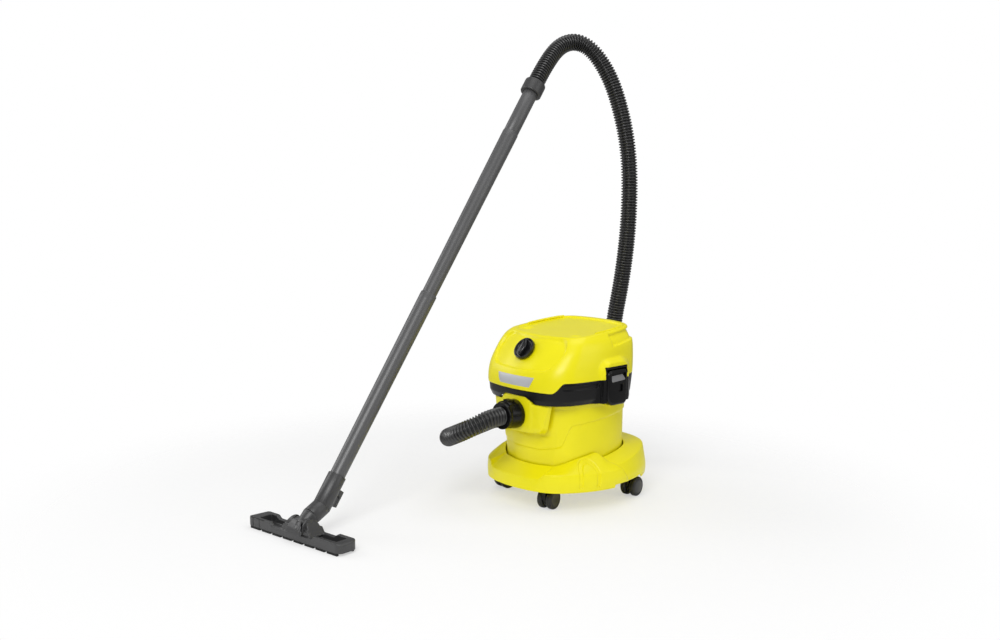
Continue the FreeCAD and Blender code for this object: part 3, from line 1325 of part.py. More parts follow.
def build():
    nodes["chassis"] = make_chassis()
    for name, place in CASTERS.items():
        fork, axle, wheels = make_caster(*place)
        nodes["caster_fork_" + name] = fork
        nodes["caster_axle_" + name] = axle
        nodes["caster_wheels_" + name] = wheels
    nodes["container"] = make_container()
    nodes["inlet_elbow"] = make_inlet_elbow()

    nodes["head_shell"], nodes["head_band"] = make_head()
    nodes["badge_plate"] = make_badge()
    nodes["switch_knob"] = make_knob()
    nodes["switch_body"] = make_switch_body()
    nodes["latch_right"] = make_latch()
    nodes["latch_left"] = mirrored_x(nodes["latch_right"])
    pin = make_latch_pin()
    nodes["latch_pins"] = Part.Compound([pin, mirrored_x(pin)])
    nodes["cooling_grille"] = make_grille()
    nodes["blower_port"] = make_blower_port()
    nodes["cable_gland"] = make_cable_gland()

    nodes["motor_plate"] = make_motor_plate()
    nodes["head_screws"] = make_screws()
    nodes["rim_seal"] = make_seal()
    nodes["float_cage"] = make_float_cage()
    nodes["float_ball"] = make_float()
    nodes["cartridge_filter"] = make_filter()
    nodes["filter_cap"] = make_filter_cap()
    nodes["motor_mount_ring"] = make_motor_ring()
    nodes["fan_case"] = make_fan_case()
    nodes["impeller"] = make_impeller()
    nodes["lower_bearing"] = make_bearing(motor_levels()[1] - BEARING_H)
    nodes["upper_bearing"] = make_bearing(bracket_top() - BEARING_H + 1)
    nodes["stator"] = make_stator()
    nodes["motor_bracket"] = make_bracket()
    nodes["carbon_brushes"] = make_brushes()
    nodes["rotor"] = make_rotor()
    nodes["cooling_fan"] = make_cooling_fan()

    nodes["hose_connector"] = make_connector()
    nodes["release_tab"] = tab_box(0, 0)
    nodes["suction_hose"] = make_hose()
    nodes["hose_cuff"] = wand_set(make_cuff()[0])
    nodes["hand_piece"] = wand_set(make_hand_piece())
    nodes["upper_tube"] = wand_set(make_tube(TUBE_VISIBLE, TUBE_VISIBLE, TUBE_LARGE_R))
    nodes["lower_tube"] = wand_set(make_tube(0, TUBE_VISIBLE, TUBE_LARGE_R))
    nodes["nozzle_sleeve"] = wand_set(make_sleeve())
    nodes["parking_hook"] = wand_set(make_hook())
    nodes["nozzle_neck"] = nozzle_set(make_neck())
    nodes["nozzle_body"] = nozzle_set(make_nozzle_body())
    nodes["pivot_pins"] = nozzle_set(make_pivot_pins())
    nodes["front_strip"] = nozzle_set(make_strip(STRIP_Y[0]))
    nodes["rear_strip"] = nozzle_set(make_strip(STRIP_Y[1]))


def footprint_shift():
    """Move that puts the origin under the middle of everything but the free hose."""
    everything = Part.Compound([shape for name, shape in nodes.items() if name != "suction_hose"])
    box_all = everything.optimalBoundingBox(False, False)
    return Vec(-box_all.Center.x, -box_all.Center.y, -box_all.ZMin)


build()
shift = footprint_shift()
print("shift", tuple(round(v, 3) for v in shift))
os.makedirs("parts", exist_ok=True)
for name, shape in nodes.items():
    placed = shape.copy()
    placed.translate(shift)
    if not placed.isValid():
        print("invalid shape:", name)
    placed.exportStep("parts/%s.step" % name)
print(len(nodes), "nodes written")
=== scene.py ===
import json
import math

import bmesh
import bpy
import numpy as np
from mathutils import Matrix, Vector

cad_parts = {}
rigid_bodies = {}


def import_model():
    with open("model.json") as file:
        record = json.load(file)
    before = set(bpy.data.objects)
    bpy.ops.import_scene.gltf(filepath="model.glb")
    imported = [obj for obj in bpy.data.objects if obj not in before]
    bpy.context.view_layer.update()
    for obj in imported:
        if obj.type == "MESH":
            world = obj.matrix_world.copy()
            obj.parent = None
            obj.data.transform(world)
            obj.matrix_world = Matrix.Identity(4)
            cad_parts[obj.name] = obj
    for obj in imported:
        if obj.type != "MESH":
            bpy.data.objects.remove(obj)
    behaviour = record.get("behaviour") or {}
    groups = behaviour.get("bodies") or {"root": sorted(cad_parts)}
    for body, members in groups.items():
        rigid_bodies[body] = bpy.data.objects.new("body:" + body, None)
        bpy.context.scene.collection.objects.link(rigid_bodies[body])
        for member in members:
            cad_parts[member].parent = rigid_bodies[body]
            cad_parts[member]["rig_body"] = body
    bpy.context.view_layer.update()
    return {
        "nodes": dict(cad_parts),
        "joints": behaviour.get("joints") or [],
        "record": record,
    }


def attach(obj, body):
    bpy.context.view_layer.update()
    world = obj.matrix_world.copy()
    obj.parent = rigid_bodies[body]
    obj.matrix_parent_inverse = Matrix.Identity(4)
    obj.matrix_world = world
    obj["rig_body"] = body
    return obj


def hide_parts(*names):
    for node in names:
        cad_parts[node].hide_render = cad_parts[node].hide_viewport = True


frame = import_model()

# The tub's axis in the frame; pieces are drawn in millimetres about it, with z from the floor
MM = 0.001
JOINTS = {joint["name"]: joint for joint in frame["joints"]}
AXIS = np.array(JOINTS["motor_spin"]["pos_m"]) * (1, 1, 0)
SCENE = bpy.context.scene


def row(points):
    """Millimetres about the tub's axis, as metres in the frame."""
    return np.asarray(points, float) * MM + AXIS


# Finishes

def node(tree, kind, **values):
    made = tree.nodes.new(kind)
    for name, value in values.items():
        if hasattr(made, name):
            setattr(made, name, value)
        else:
            made.inputs[name.replace("_", " ")].default_value = value
    return made


def fresh_material(name):
    """A new material with its tree, its shader and its texture coordinates."""
    material = bpy.data.materials.new(name)
    material.use_nodes = True
    tree = material.node_tree
    return material, tree, tree.nodes["Principled BSDF"], node(tree, "ShaderNodeTexCoord")


TINT_SCALE = 14.0
GLOSS_SCALE = 55.0
GLOSS_SPREAD = 0.05
GRAIN_HEIGHT = 0.0002
BRUSH_SCALE = 900.0
BRUSH_GLOSS = (-0.08, 0.1)
BRUSH_HEIGHT = 0.0001


def plastic(name, colour, roughness, grain=0.00035, grain_depth=0.08, shade=0.06, specular=0.5):
    """Moulded plastic: a fine grain, and a slow change of shade and of gloss."""
    material, tree, shader, place = fresh_material(name)
    shader.inputs["Specular IOR Level"].default_value = specular
    link = tree.links.new

    slow = node(tree, "ShaderNodeTexNoise", Scale=TINT_SCALE, Detail=3.0, Roughness=0.55)
    link(place.outputs["Object"], slow.inputs["Vector"])
    tint = node(tree, "ShaderNodeValToRGB")
    dark = [c * (1 - shade) for c in colour]
    light = [min(1.0, c * (1 + shade)) for c in colour]
    tint.color_ramp.elements[0].position = 0.3
    tint.color_ramp.elements[0].color = (*dark, 1)
    tint.color_ramp.elements[1].position = 0.7
    tint.color_ramp.elements[1].color = (*light, 1)
    link(slow.outputs["Fac"], tint.inputs["Fac"])
    link(tint.outputs["Color"], shader.inputs["Base Color"])

    cloudy = node(tree, "ShaderNodeTexNoise", Scale=GLOSS_SCALE, Detail=4.0, Roughness=0.6)
    link(place.outputs["Object"], cloudy.inputs["Vector"])
    gloss = node(tree, "ShaderNodeMapRange")
    gloss.inputs["To Min"].default_value = max(0.02, roughness - GLOSS_SPREAD)
    gloss.inputs["To Max"].default_value = min(1.0, roughness + GLOSS_SPREAD)
    link(cloudy.outputs["Fac"], gloss.inputs["Value"])
    link(gloss.outputs["Result"], shader.inputs["Roughness"])

    fine = node(tree, "ShaderNodeTexNoise", Scale=1.0 / grain, Detail=2.0, Roughness=0.5)
    link(place.outputs["Object"], fine.inputs["Vector"])
    bump = node(tree, "ShaderNodeBump", Strength=grain_depth, Distance=GRAIN_HEIGHT)
    link(fine.outputs["Fac"], bump.inputs["Height"])
    link(bump.outputs["Normal"], shader.inputs["Normal"])
    return material


def metal(name, colour, roughness, stretch):
    """Brushed metal: fine lines along one direction."""
    material, tree, shader, place = fresh_material(name)
    link = tree.links.new
    shader.inputs["Metallic"].default_value = 1.0
    shader.inputs["Base Color"].default_value = (*colour, 1)
    squeeze = node(tree, "ShaderNodeMapping")
    squeeze.inputs["Scale"].default_value = stretch
    link(place.outputs["Object"], squeeze.inputs["Vector"])
    lines = node(tree, "ShaderNodeTexNoise", Scale=BRUSH_SCALE, Detail=3.0, Roughness=0.6)
    link(squeeze.outputs["Vector"], lines.inputs["Vector"])
    gloss = node(tree, "ShaderNodeMapRange")
    gloss.inputs["To Min"].default_value = roughness + BRUSH_GLOSS[0]
    gloss.inputs["To Max"].default_value = roughness + BRUSH_GLOSS[1]
    link(lines.outputs["Fac"], gloss.inputs["Value"])
    link(gloss.outputs["Result"], shader.inputs["Roughness"])
    bump = node(tree, "ShaderNodeBump", Strength=0.15, Distance=BRUSH_HEIGHT)
    link(lines.outputs["Fac"], bump.inputs["Height"])
    link(bump.outputs["Normal"], shader.inputs["Normal"])
    return material


FINISH = {
    "yellow_plastic": plastic(
        "yellow", (0.94, 0.85, 0.004), 0.33, grain_depth=0.04, shade=0.02, specular=0.4),
    "black_plastic": plastic(
        "black", (0.004, 0.004, 0.0043), 0.24, grain_depth=0.05, shade=0.15, specular=0.27),
    "grey_plastic": plastic(
        "dark_grey", (0.036, 0.036, 0.037), 0.40, grain_depth=0.03, shade=0.06, specular=0.7),
    "tube_plastic": plastic(
        "tube_grey", (0.085, 0.085, 0.087), 0.37, grain_depth=0.03, shade=0.05, specular=0.7),
    "hose_plastic": plastic(
        "hose_black", (0.005, 0.005, 0.0052), 0.34, grain_depth=0.0, shade=0.05, specular=1.0),
    "wheel_rubber": plastic(
        "wheel_black", (0.014, 0.014, 0.015), 0.42, grain_depth=0.12, shade=0.12),
    "rubber": plastic("rubber", (0.02, 0.02, 0.02), 0.65, grain_depth=0.25, shade=0.15),
    "filter_paper": plastic(
        "filter_paper", (0.72, 0.69, 0.60), 0.85, grain=0.0006, grain_depth=0.5, shade=0.05),
    "carbon": plastic("carbon", (0.015, 0.015, 0.016), 0.5, grain_depth=0.3, shade=0.2),
    "badge": plastic("badge", (0.52, 0.53, 0.55), 0.35, grain=0.0005, grain_depth=0.1, shade=0.06),
    "knob_black": plastic(
        "knob_black", (0.006, 0.006, 0.0065), 0.20, grain_depth=0.05, shade=0.15, specular=0.6),
    # Grey of the latches' grip pads: partly the pad's own lighter grey, partly a painted highlight of the
    # sloped grip floor
    "grip_grey_and_highlight": plastic(
        "grip_grey_and_highlight", (0.20, 0.20, 0.205), 0.42, grain=0.0007, grain_depth=0.4, shade=0.08),
    "wheel_cap": plastic("wheel_cap", (0.03, 0.03, 0.031), 0.35, grain_depth=0.12, shade=0.1),
    "steel": metal("steel", (0.55, 0.55, 0.57), 0.28, (30.0, 30.0, 1.0)),
    "aluminium": metal("aluminium", (0.70, 0.71, 0.73), 0.35, (30.0, 30.0, 1.0)),
    "laminations": metal("laminations", (0.30, 0.29, 0.28), 0.45, (1.0, 1.0, 12.0)),
}
SLOT_OF = {part["node"]: part["material_slot"] for part in frame["record"]["subparts"]}


def dress(obj, slot):
    obj.data.materials.clear()
    obj.data.materials.append(FINISH[slot])


def smooth_shade(mesh, sharp):
    mesh.shade_smooth()
    mesh.set_sharp_from_angle(angle=math.radians(sharp))


# Mesh tools

def mesh_of(name, points, faces):
    """A mesh from points in millimetres."""
    mesh = bpy.data.meshes.new(name)
    mesh.from_pydata([tuple(p) for p in row(points)], [], [tuple(int(i) for i in f) for f in faces])
    return mesh


def turn_outwards(mesh):
    """Turns all faces of a mesh outwards."""
    bm = bmesh.new()
    bm.from_mesh(mesh)
    bmesh.ops.recalc_face_normals(bm, faces=bm.faces)
    bm.to_mesh(mesh)
    bm.free()


def draft(mesh):
    """An object for work on a mesh; it doesn't stay in the scene."""
    obj = bpy.data.objects.new("draft", mesh)
    SCENE.collection.objects.link(obj)
    return obj


def applied(obj):
    """The mesh of a draft with its modifiers; the draft then leaves the scene."""
    bpy.context.view_layer.update()
    mesh = bpy.data.meshes.new_from_object(obj.evaluated_get(bpy.context.evaluated_depsgraph_get()))
    bpy.data.objects.remove(obj)
    return mesh


def piece(name, points, faces, slot, body, stands_for=(), sharp=40):
    """A new piece from points in millimetres; it rides on a body and may stand for nodes."""
    return adopt(name, mesh_of(name, points, faces), slot, body, stands_for, sharp)


# Nodes that a new piece stands for
STOOD_FOR = set()


def adopt(name, mesh, slot, body, stands_for, sharp):
    """A mesh as a finished piece of the scene."""
    turn_outwards(mesh)
    smooth_shade(mesh, sharp)
    obj = bpy.data.objects.new(name, mesh)
    SCENE.collection.objects.link(obj)
    dress(obj, slot)
    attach(obj, body)
    if stands_for:
        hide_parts(*stands_for)
        STOOD_FOR.update(stands_for)
    return obj


def body_of(cad_node):
    return frame["nodes"][cad_node]["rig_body"]


def skin(rings, first="open", last="open"):
    """Points and faces through equal rings of points; each end is open, flat or a fan."""
    rings = np.asarray(rings, float)
    count_rows, count, _ = rings.shape
    points = rings.reshape(-1, 3)
    here = np.arange(count)
    after = (here + 1) % count
    faces = []
    for r in range(count_rows - 1):
        a = r * count
        b = a + count
        faces += np.stack([a + here, a + after, b + after, b + here], 1).tolist()
    for way, r in ((first, 0), (last, count_rows - 1)):
        if way == "flat":
            faces.append((r * count + here).tolist())
        if way == "fan":
            points = np.vstack([points, rings[r].mean(0)])
            tip = len(points) - 1
            faces += [[r * count + i, r * count + j, tip] for i, j in zip(here, after)]
    return points, faces


def joined(*forms):
    """Several (points, faces) forms as one."""
    points, faces, start = [], [], 0
    for p, f in forms:
        points.append(p)
        faces += [[i + start for i in face] for face in f]
        start += len(p)
    return np.vstack(points), faces


ARC_STEPS = 5
ARC_MOST = 0.48
STRAIGHT = 0.02
MITRE_LEAST = 0.35
UP = np.array([0.0, 0.0, 1.0])


def softened(points, radius, closed=True):
    """The polyline with its corners as arcs; radius is one value or one for each corner."""
    points = np.asarray(points, float)
    count = len(points)
    radii = np.broadcast_to(radius, count)
    made = []
    for i, corner in enumerate(points):
        if (not closed and i in (0, count - 1)) or radii[i] <= 0:
            made.append(corner)
            continue
        back = points[i - 1] - corner
        ahead = points[(i + 1) % count] - corner
        lb, la = np.linalg.norm(back), np.linalg.norm(ahead)
        u, w = back / lb, ahead / la
        half = math.acos(np.clip(u @ w, -1, 1)) / 2
        if half > math.pi / 2 - STRAIGHT:
            made.append(corner)
            continue
        reach = min(radii[i] / math.tan(half), ARC_MOST * min(lb, la))
        bend = reach * math.tan(half)
        centre = corner + (u + w) / np.linalg.norm(u + w) * bend / math.sin(half)
        start, end = corner + u * reach - centre, corner + w * reach - centre
        sweep = math.acos(np.clip(start @ end / bend ** 2, -1, 1))
        for k in range(ARC_STEPS + 1):
            t = k / ARC_STEPS
            place = start * math.sin((1 - t) * sweep) + end * math.sin(t * sweep)
            made.append(centre + place / math.sin(sweep))
    return np.array(made)


def inset(outline, amount):
    """A plan outline moved inwards by an amount, corners mitred."""
    ahead = np.roll(outline, -1, 0) - outline
    ahead /= np.linalg.norm(ahead, axis=1)[:, None] + 1e-12
    normal = np.stack([-ahead[:, 1], ahead[:, 0]], 1)
    area = np.sum(outline[:, 0] * np.roll(outline[:, 1], -1) - np.roll(outline[:, 0], -1) * outline[:, 1])
    normal *= np.sign(area)
    both = normal + np.roll(normal, 1, 0)
    both /= np.linalg.norm(both, axis=1)[:, None]
    stretch = np.clip(np.sum(both * normal, 1), MITRE_LEAST, 1)
    return outline + both * (amount / stretch)[:, None]


def axes(origin, way):
    """Matrix whose third axis is the way and whose second lies nearest to upright."""
    w = np.array(way, float) / np.linalg.norm(way)
    v = UP - w * (UP @ w)
    v /= np.linalg.norm(v)
    made = np.eye(4)
    made[:3, 0], made[:3, 1], made[:3, 2], made[:3, 3] = np.cross(v, w), v, w, origin
    return made


def placed(points, matrix):
    return np.asarray(points) @ matrix[:3, :3].T + matrix[:3, 3]


def pushed(outline, depth, edge, matrix, steps):
    """A plate from a plan outline, pushed along the matrix's third axis, both rims rounded."""
    low, high = (edge, edge) if np.isscalar(edge) else edge
    rings = []
    for start, radius, way in ((0.0, low, 1), (depth, high, -1)):
        turns = [k / steps * math.pi / 2 for k in range(steps + 1)]
        if way < 0:
            turns = turns[::-1]
        for a in turns if radius > 0 else [math.pi / 2]:
            flat = inset(outline, radius * (1 - math.sin(a)))
            level = start + way * radius * (1 - math.cos(a))
            rings.append(np.column_stack([flat, np.full(len(flat), level)]))
    return skin([placed(r, matrix) for r in rings], "flat", "flat")


def turned(profile, matrix, steps):
    """A turned form from (along, radius) pairs about the matrix's third axis."""
    angle = np.linspace(0, 2 * math.pi, steps, endpoint=False)
    circle = np.stack([np.cos(angle), np.sin(angle)], 1)
    rings = []
    for along, radius in profile:
        rings.append(placed(np.column_stack([circle * max(radius, 0.01), np.full(steps, along)]), matrix))
    return skin(rings, "flat", "flat")


MOST_TRIANGLES = 180000
MOULD_SHARP = 75


def moulded(name, cad_node, voxel, passes, detail):
    """A dense copy of a node with its edges rounded, as in a mould; detail moves its points."""
    obj = draft(frame["nodes"][cad_node].data.copy())
    remesh = obj.modifiers.new("remesh", "REMESH")
    remesh.mode = "VOXEL"
    remesh.voxel_size = voxel * MM
    smooth = obj.modifiers.new("smooth", "SMOOTH")
    smooth.factor = 0.5
    smooth.iterations = passes
    mesh = applied(obj)
    places = np.zeros(len(mesh.vertices) * 3)
    normals = np.zeros(len(mesh.vertices) * 3)
    mesh.vertices.foreach_get("co", places)
    mesh.vertices.foreach_get("normal", normals)
    local = (places.reshape(-1, 3) - AXIS) / MM
    moved = detail(local, normals.reshape(-1, 3))
    mesh.vertices.foreach_set("co", row(moved).ravel())
    mesh.update()
    triangles = 2 * len(mesh.polygons)
    if triangles > MOST_TRIANGLES:
        obj = draft(mesh)
        fewer = obj.modifiers.new("fewer", "DECIMATE")
        fewer.ratio = MOST_TRIANGLES / triangles
        mesh = applied(obj)
    return adopt(name, mesh, SLOT_OF[cad_node], body_of(cad_node), (cad_node,), MOULD_SHARP)


# Camera, light and floor

CAMERA_PLACE = (2010.8, -2042.0, 844.7)
CAMERA_HEADING = 47.74
CAMERA_PITCH = 8.38
CAMERA_LENS = 43.76
CAMERA_SENSOR = 36.0

camera_data = bpy.data.cameras.new("camera")
camera_data.lens = CAMERA_LENS
camera_data.sensor_width = CAMERA_SENSOR
camera_data.clip_end = 50.0
camera = bpy.data.objects.new("camera", camera_data)
camera.location = row([CAMERA_PLACE])[0]
camera.rotation_euler = (math.radians(90 - CAMERA_PITCH), 0, math.radians(CAMERA_HEADING))
SCENE.collection.objects.link(camera)
SCENE.camera = camera
SCENE.view_settings.view_transform = "Standard"


def lamp(name, place, target, size, power):
    data = bpy.data.lights.new(name, "AREA")
    data.shape = "RECTANGLE"
    data.size, data.size_y = size
    data.energy = power
    obj = bpy.data.objects.new(name, data)
    obj.location = place
    way = Vector(target) - Vector(place)
    obj.rotation_euler = way.to_track_quat("-Z", "Y").to_euler()
    SCENE.collection.objects.link(obj)


# Name, place, target, size and power, in metres and watts
LAMPS = (
    ("key", (1.9, -2.7, 2.9), (0, 0.1, 0.3), (2.0, 1.8), 84),
    ("fill", (-3.2, -1.6, 2.0), (0, 0.1, 0.4), (2.0, 2.6), 34),
    ("side", (3.0, 1.4, 1.8), (0, 0.2, 0.3), (1.6, 2.4), 16),
    ("top", (0.2, 0.6, 3.6), (0, 0.2, 0.2), (2.6, 2.6), 30),
)
for values in LAMPS:
    lamp(*values)

WHITE = (1, 1, 1, 1)
ROOM_LIGHT = 0.34


def make_room():
    """Soft white light from all round, and plain white where the camera sees the room."""
    world = bpy.data.worlds.new("studio")
    SCENE.world = world
    world.use_nodes = True
    tree = world.node_tree
    tree.nodes.clear()
    link = tree.links.new
    rays = node(tree, "ShaderNodeLightPath")
    seen = node(tree, "ShaderNodeMath", operation="MAXIMUM")
    room = node(tree, "ShaderNodeBackground", Color=WHITE, Strength=ROOM_LIGHT)
    paper = node(tree, "ShaderNodeBackground", Color=WHITE, Strength=1.0)
    blend = node(tree, "ShaderNodeMixShader")
    output = node(tree, "ShaderNodeOutputWorld")
    link(rays.outputs["Is Camera Ray"], seen.inputs[0])
    link(rays.outputs["Is Transmission Ray"], seen.inputs[1])
    link(seen.outputs["Value"], blend.inputs["Fac"])
    link(room.outputs["Background"], blend.inputs[1])
    link(paper.outputs["Background"], blend.inputs[2])
    link(blend.outputs["Shader"], output.inputs["Surface"])


make_room()

FLOOR_HALF = 6.0
FLOOR_FADE = (0.62, 1.25)
FLOOR_LIFT = 0.5
PAPER = 0.97
PAPER_SPREAD = 0.02


def floor_finish():
    """White paper that keeps the shadow, and fades to the white room away from the object."""
    material, tree, shader, place = fresh_material("paper_floor")
    link = tree.links.new
    output = tree.nodes["Material Output"]
    shader.inputs["Roughness"].default_value = 0.9
    shader.inputs["Specular IOR Level"].default_value = 0.1
    fibres = node(tree, "ShaderNodeTexNoise", Scale=40.0, Detail=4.0)
    link(place.outputs["Object"], fibres.inputs["Vector"])
    tone = node(tree, "ShaderNodeValToRGB")
    for element, level in zip(tone.color_ramp.elements, (PAPER, PAPER + PAPER_SPREAD)):
        element.color = (level, level, level, 1)
    link(fibres.outputs["Fac"], tone.inputs["Fac"])
    link(tone.outputs["Color"], shader.inputs["Base Color"])
    away = node(tree, "ShaderNodeVectorMath", operation="LENGTH")
    link(place.outputs["Object"], away.inputs[0])
    fade = node(tree, "ShaderNodeMapRange", interpolation_type="SMOOTHSTEP")
    fade.inputs["From Min"].default_value = FLOOR_FADE[0]
    fade.inputs["From Max"].default_value = FLOOR_FADE[1]
    link(away.outputs["Value"], fade.inputs["Value"])
    rays = node(tree, "ShaderNodeLightPath")
    seen = node(tree, "ShaderNodeMath", operation="MULTIPLY")
    link(rays.outputs["Is Camera Ray"], seen.inputs[0])
    seen.inputs[1].default_value = FLOOR_LIFT
    white = node(tree, "ShaderNodeEmission", Strength=1.0)
    lifted = node(tree, "ShaderNodeMixShader")
    link(seen.outputs["Value"], lifted.inputs["Fac"])
    link(shader.outputs["BSDF"], lifted.inputs[1])
    link(white.outputs["Emission"], lifted.inputs[2])
    clear = node(tree, "ShaderNodeBsdfTransparent")
    blend = node(tree, "ShaderNodeMixShader")
    link(fade.outputs["Result"], blend.inputs["Fac"])
    link(lifted.outputs["Shader"], blend.inputs[1])
    link(clear.outputs["BSDF"], blend.inputs[2])
    link(blend.outputs["Shader"], output.inputs["Surface"])
    return material


def make_floor():
    mesh = bpy.data.meshes.new("floor")
    corners = [(x * FLOOR_HALF, y * FLOOR_HALF, 0) for x, y in ((-1, -1), (1, -1), (1, 1), (-1, 1))]
    mesh.from_pydata(corners, [], [(0, 1, 2, 3)])
    mesh.materials.append(floor_finish())
    floor = bpy.data.objects.new("floor", mesh)
    SCENE.collection.objects.link(floor)


make_floor()


# Hose

HOSE_R = 21.5
HOSE_VALLEY = 5.0
HOSE_PITCH = 7.2
HOSE_CREST = 1.3
HOSE_STATIONS = 8
HOSE_ROUND = 36
HOSE_SHARP = 180
ROUTE_STEPS = 24
HOSE_ROUTE = (
    (0.0, -212.3, 222.0),
    (0.0, -246.0, 222.0),
    (-24.0, -288.0, 199.4),
    (-76.0, -301.0, 174.5),
    (-130.0, -262.0, 156.2),
    (-176.0, -190.0, 146.4),
    (-208.0, -100.0, 145.4),
    (-226.0, -5.0, 151.4),
    (-232.0, 90.0, 94.0),
    (-222.0, 185.0, 50.0),
    (-196.0, 270.0, 46.0),
    (-170.0, 325.0, 100.0),
    (-150.0, 340.0, 195.0),
    (-155.0, 325.0, 334.0),
    (-116.0, 325.0, 495.0),
    (-87.0, 315.0, 656.0),
    (-86.0, 310.0, 822.0),
    (-129.0, 305.0, 969.0),
    (-171.0, 288.0, 1053.0),
    (-204.0, 252.0, 1097.0),
    (-223.0, 200.0, 1090.0),
    (-217.8, 140.5, 1040.3),
    (-213.3, 99.1, 986.6),
)


def smooth_line(points):
    """Points along a smooth curve that has the route as its control points, in metres."""
    data = bpy.data.curves.new("route", "CURVE")
    data.dimensions = "3D"
    data.resolution_u = ROUTE_STEPS
    spline = data.splines.new("NURBS")
    spline.points.add(len(points) - 1)
    for point, place in zip(spline.points, row(points)):
        point.co = (*place, 1)
    spline.order_u = 3
    spline.use_endpoint_u = True
    obj = bpy.data.objects.new("route", data)
    SCENE.collection.objects.link(obj)
    mesh = applied(obj)
    return np.array([v.co for v in mesh.vertices])


def stations(line, step):
    """Even stations on a line: places, directions and distance."""
    runs = np.linalg.norm(np.diff(line, axis=0), axis=1)
    far = np.concatenate([[0], np.cumsum(runs)])
    count = int(round(far[-1] / step))
    at = np.linspace(0, far[-1], count + 1)
    places = np.stack([np.interp(at, far, line[:, k]) for k in range(3)], 1)
    ways = np.gradient(places, axis=0)
    return places, ways / np.linalg.norm(ways, axis=1)[:, None], at


def carried(ways):
    """Two side directions at each station, carried along without twist."""
    side = np.cross(ways[0], UP)
    side /= np.linalg.norm(side)
    sides = []
    for way in ways:
        side = side - way * (side @ way)
        side /= np.linalg.norm(side)
        sides.append(side)
    sides = np.array(sides)
    return sides, np.cross(ways, sides)


def rib_radius(distance):
    """Radius of the ribbed wall: broad round crests between narrow valleys."""
    wave = 0.5 - 0.5 * np.cos(2 * math.pi * distance / (HOSE_PITCH * MM))
    return (HOSE_R - HOSE_VALLEY * wave**HOSE_CREST) * MM


def make_hose():
    line = smooth_line(HOSE_ROUTE)
    places, ways, at = stations(line, HOSE_PITCH * MM / HOSE_STATIONS)
    u, v = carried(ways)
    angle = np.linspace(0, 2 * math.pi, HOSE_ROUND, endpoint=False)
    radius = rib_radius(at)
    rings = places[:, None] + radius[:, None, None] * (
        u[:, None] * np.cos(angle)[None, :, None] + v[:, None] * np.sin(angle)[None, :, None])
    points, faces = skin((rings - AXIS) / MM, "flat", "flat")
    body = body_of("suction_hose")
    hose = piece("hose", points, faces, "hose_plastic", body, ("suction_hose",), HOSE_SHARP)


make_hose()


# Head: the yellow shell

HEAD_ROWS = np.array([
    # z, half width, front, rear, corner radius
    (250.4, 141, -167, 125, 75), (262, 147, -171, 128, 75), (300, 152, -173, 130, 74),
    (330, 150, -164, 131, 66), (355, 147, -147, 129.5, 58), (375, 143, -130, 127, 48),
    (392, 135, -113, 125, 40), (404, 124, -96, 124, 42), (432, 104, -55, 122, 56),
], float)
HEAD_BULGE_R = 330.0
SIDE_STEPS = 40
CORNER_STEPS = 36
END_STEPS = 25
TOP_FRONT_Y = -85.0
TOP_FRONT_Z = 401.0
TOP_RISE = math.tan(math.radians(4.2))
SPLIT_Z = (281.0, 305.0)
SPLIT_STEP = (-156.0, -134.0)
TRAY = (113.0, -88.0, 108.0)
TRAY_CORNER_R = 34.0
TRAY_DEPTH = 3.5
WALL = 2.6
LATCH_MID_Y = 4.0
FRAME_HALF = 32.5
FRAME_TOP_Z = 334.0
WINDOW_WIDER = 6.0


def bulged_plan(half, front, rear, corner, bulge):
    """Closed plan outline of bulging sides and ends joined by tangent corner arcs."""
    depth = (rear - front) / 2
    side_c = np.array([half - bulge, 0.0])
    end_c = np.array([0.0, depth - bulge])
    apart = end_c - side_c
    unit = apart / np.linalg.norm(apart)
    height = math.sqrt((bulge - corner) ** 2 - (np.linalg.norm(apart) / 2) ** 2)
    across = np.array([-unit[1], unit[0]]) * height
    centre = side_c + apart / 2 + across
    if centre.min() < 0:
        centre = side_c + apart / 2 - across
    turn_side = math.atan2(*(centre - side_c)[::-1])
    turn_end = math.atan2(*(centre - end_c)[::-1])
    arcs = (
        (side_c, bulge, 0.0, turn_side, SIDE_STEPS),
        (centre, corner, turn_side, turn_end, CORNER_STEPS),
        (end_c, bulge, turn_end, math.pi / 2, END_STEPS),
    )
    quarter = []
    for middle, radius, a, b, count in arcs:
        for t in np.linspace(a, b, count, endpoint=False):
            quarter.append(middle + radius * np.array([math.cos(t), math.sin(t)]))
    quarter = np.array(quarter)
    top = np.array([[0.0, depth]])
    half_turn = np.vstack([quarter, top, (quarter * (-1, 1))[:0:-1]])
    whole = np.vstack([half_turn, -half_turn])
    return whole + (0, (rear + front) / 2)


def eased(stops, values, at):
    """Smooth curve through stops, with slopes from the neighbours."""
    slope = np.gradient(values, stops, axis=0)
    k = np.clip(np.searchsorted(stops, at) - 1, 0, len(stops) - 2)
    width = stops[k + 1] - stops[k]
    t = ((at - stops[k]) / width)[:, None]
    a, b, ma, mb = values[k], values[k + 1], slope[k] * width[:, None], slope[k + 1] * width[:, None]
    return ((2 * t**3 - 3 * t**2 + 1) * a + (t**3 - 2 * t**2 + t) * ma
            + (3 * t**2 - 2 * t**3) * b + (t**3 - t**2) * mb)


def smoothstep(x):
    x = np.clip(x, 0, 1)
    return x * x * (3 - 2 * x)


def ramp(value, start, end):
    """Smooth share from 0 at start to 1 at end."""
    return smoothstep((value - start) / (end - start))


def within(away, edge):
    """Smooth share that is 1 inside a border and 0 outside it, from the distance to the border."""
    return smoothstep(0.5 - away / edge)


def between(pair, share):
    return pair[0] + (pair[1] - pair[0]) * share


def smooth_max(a, b, blend):
    """The larger of two, rounded off where they meet."""
    h = np.clip(0.5 + (a - b) / (2 * blend), 0, 1)
    return b + (a - b) * h + blend * h * (1 - h)


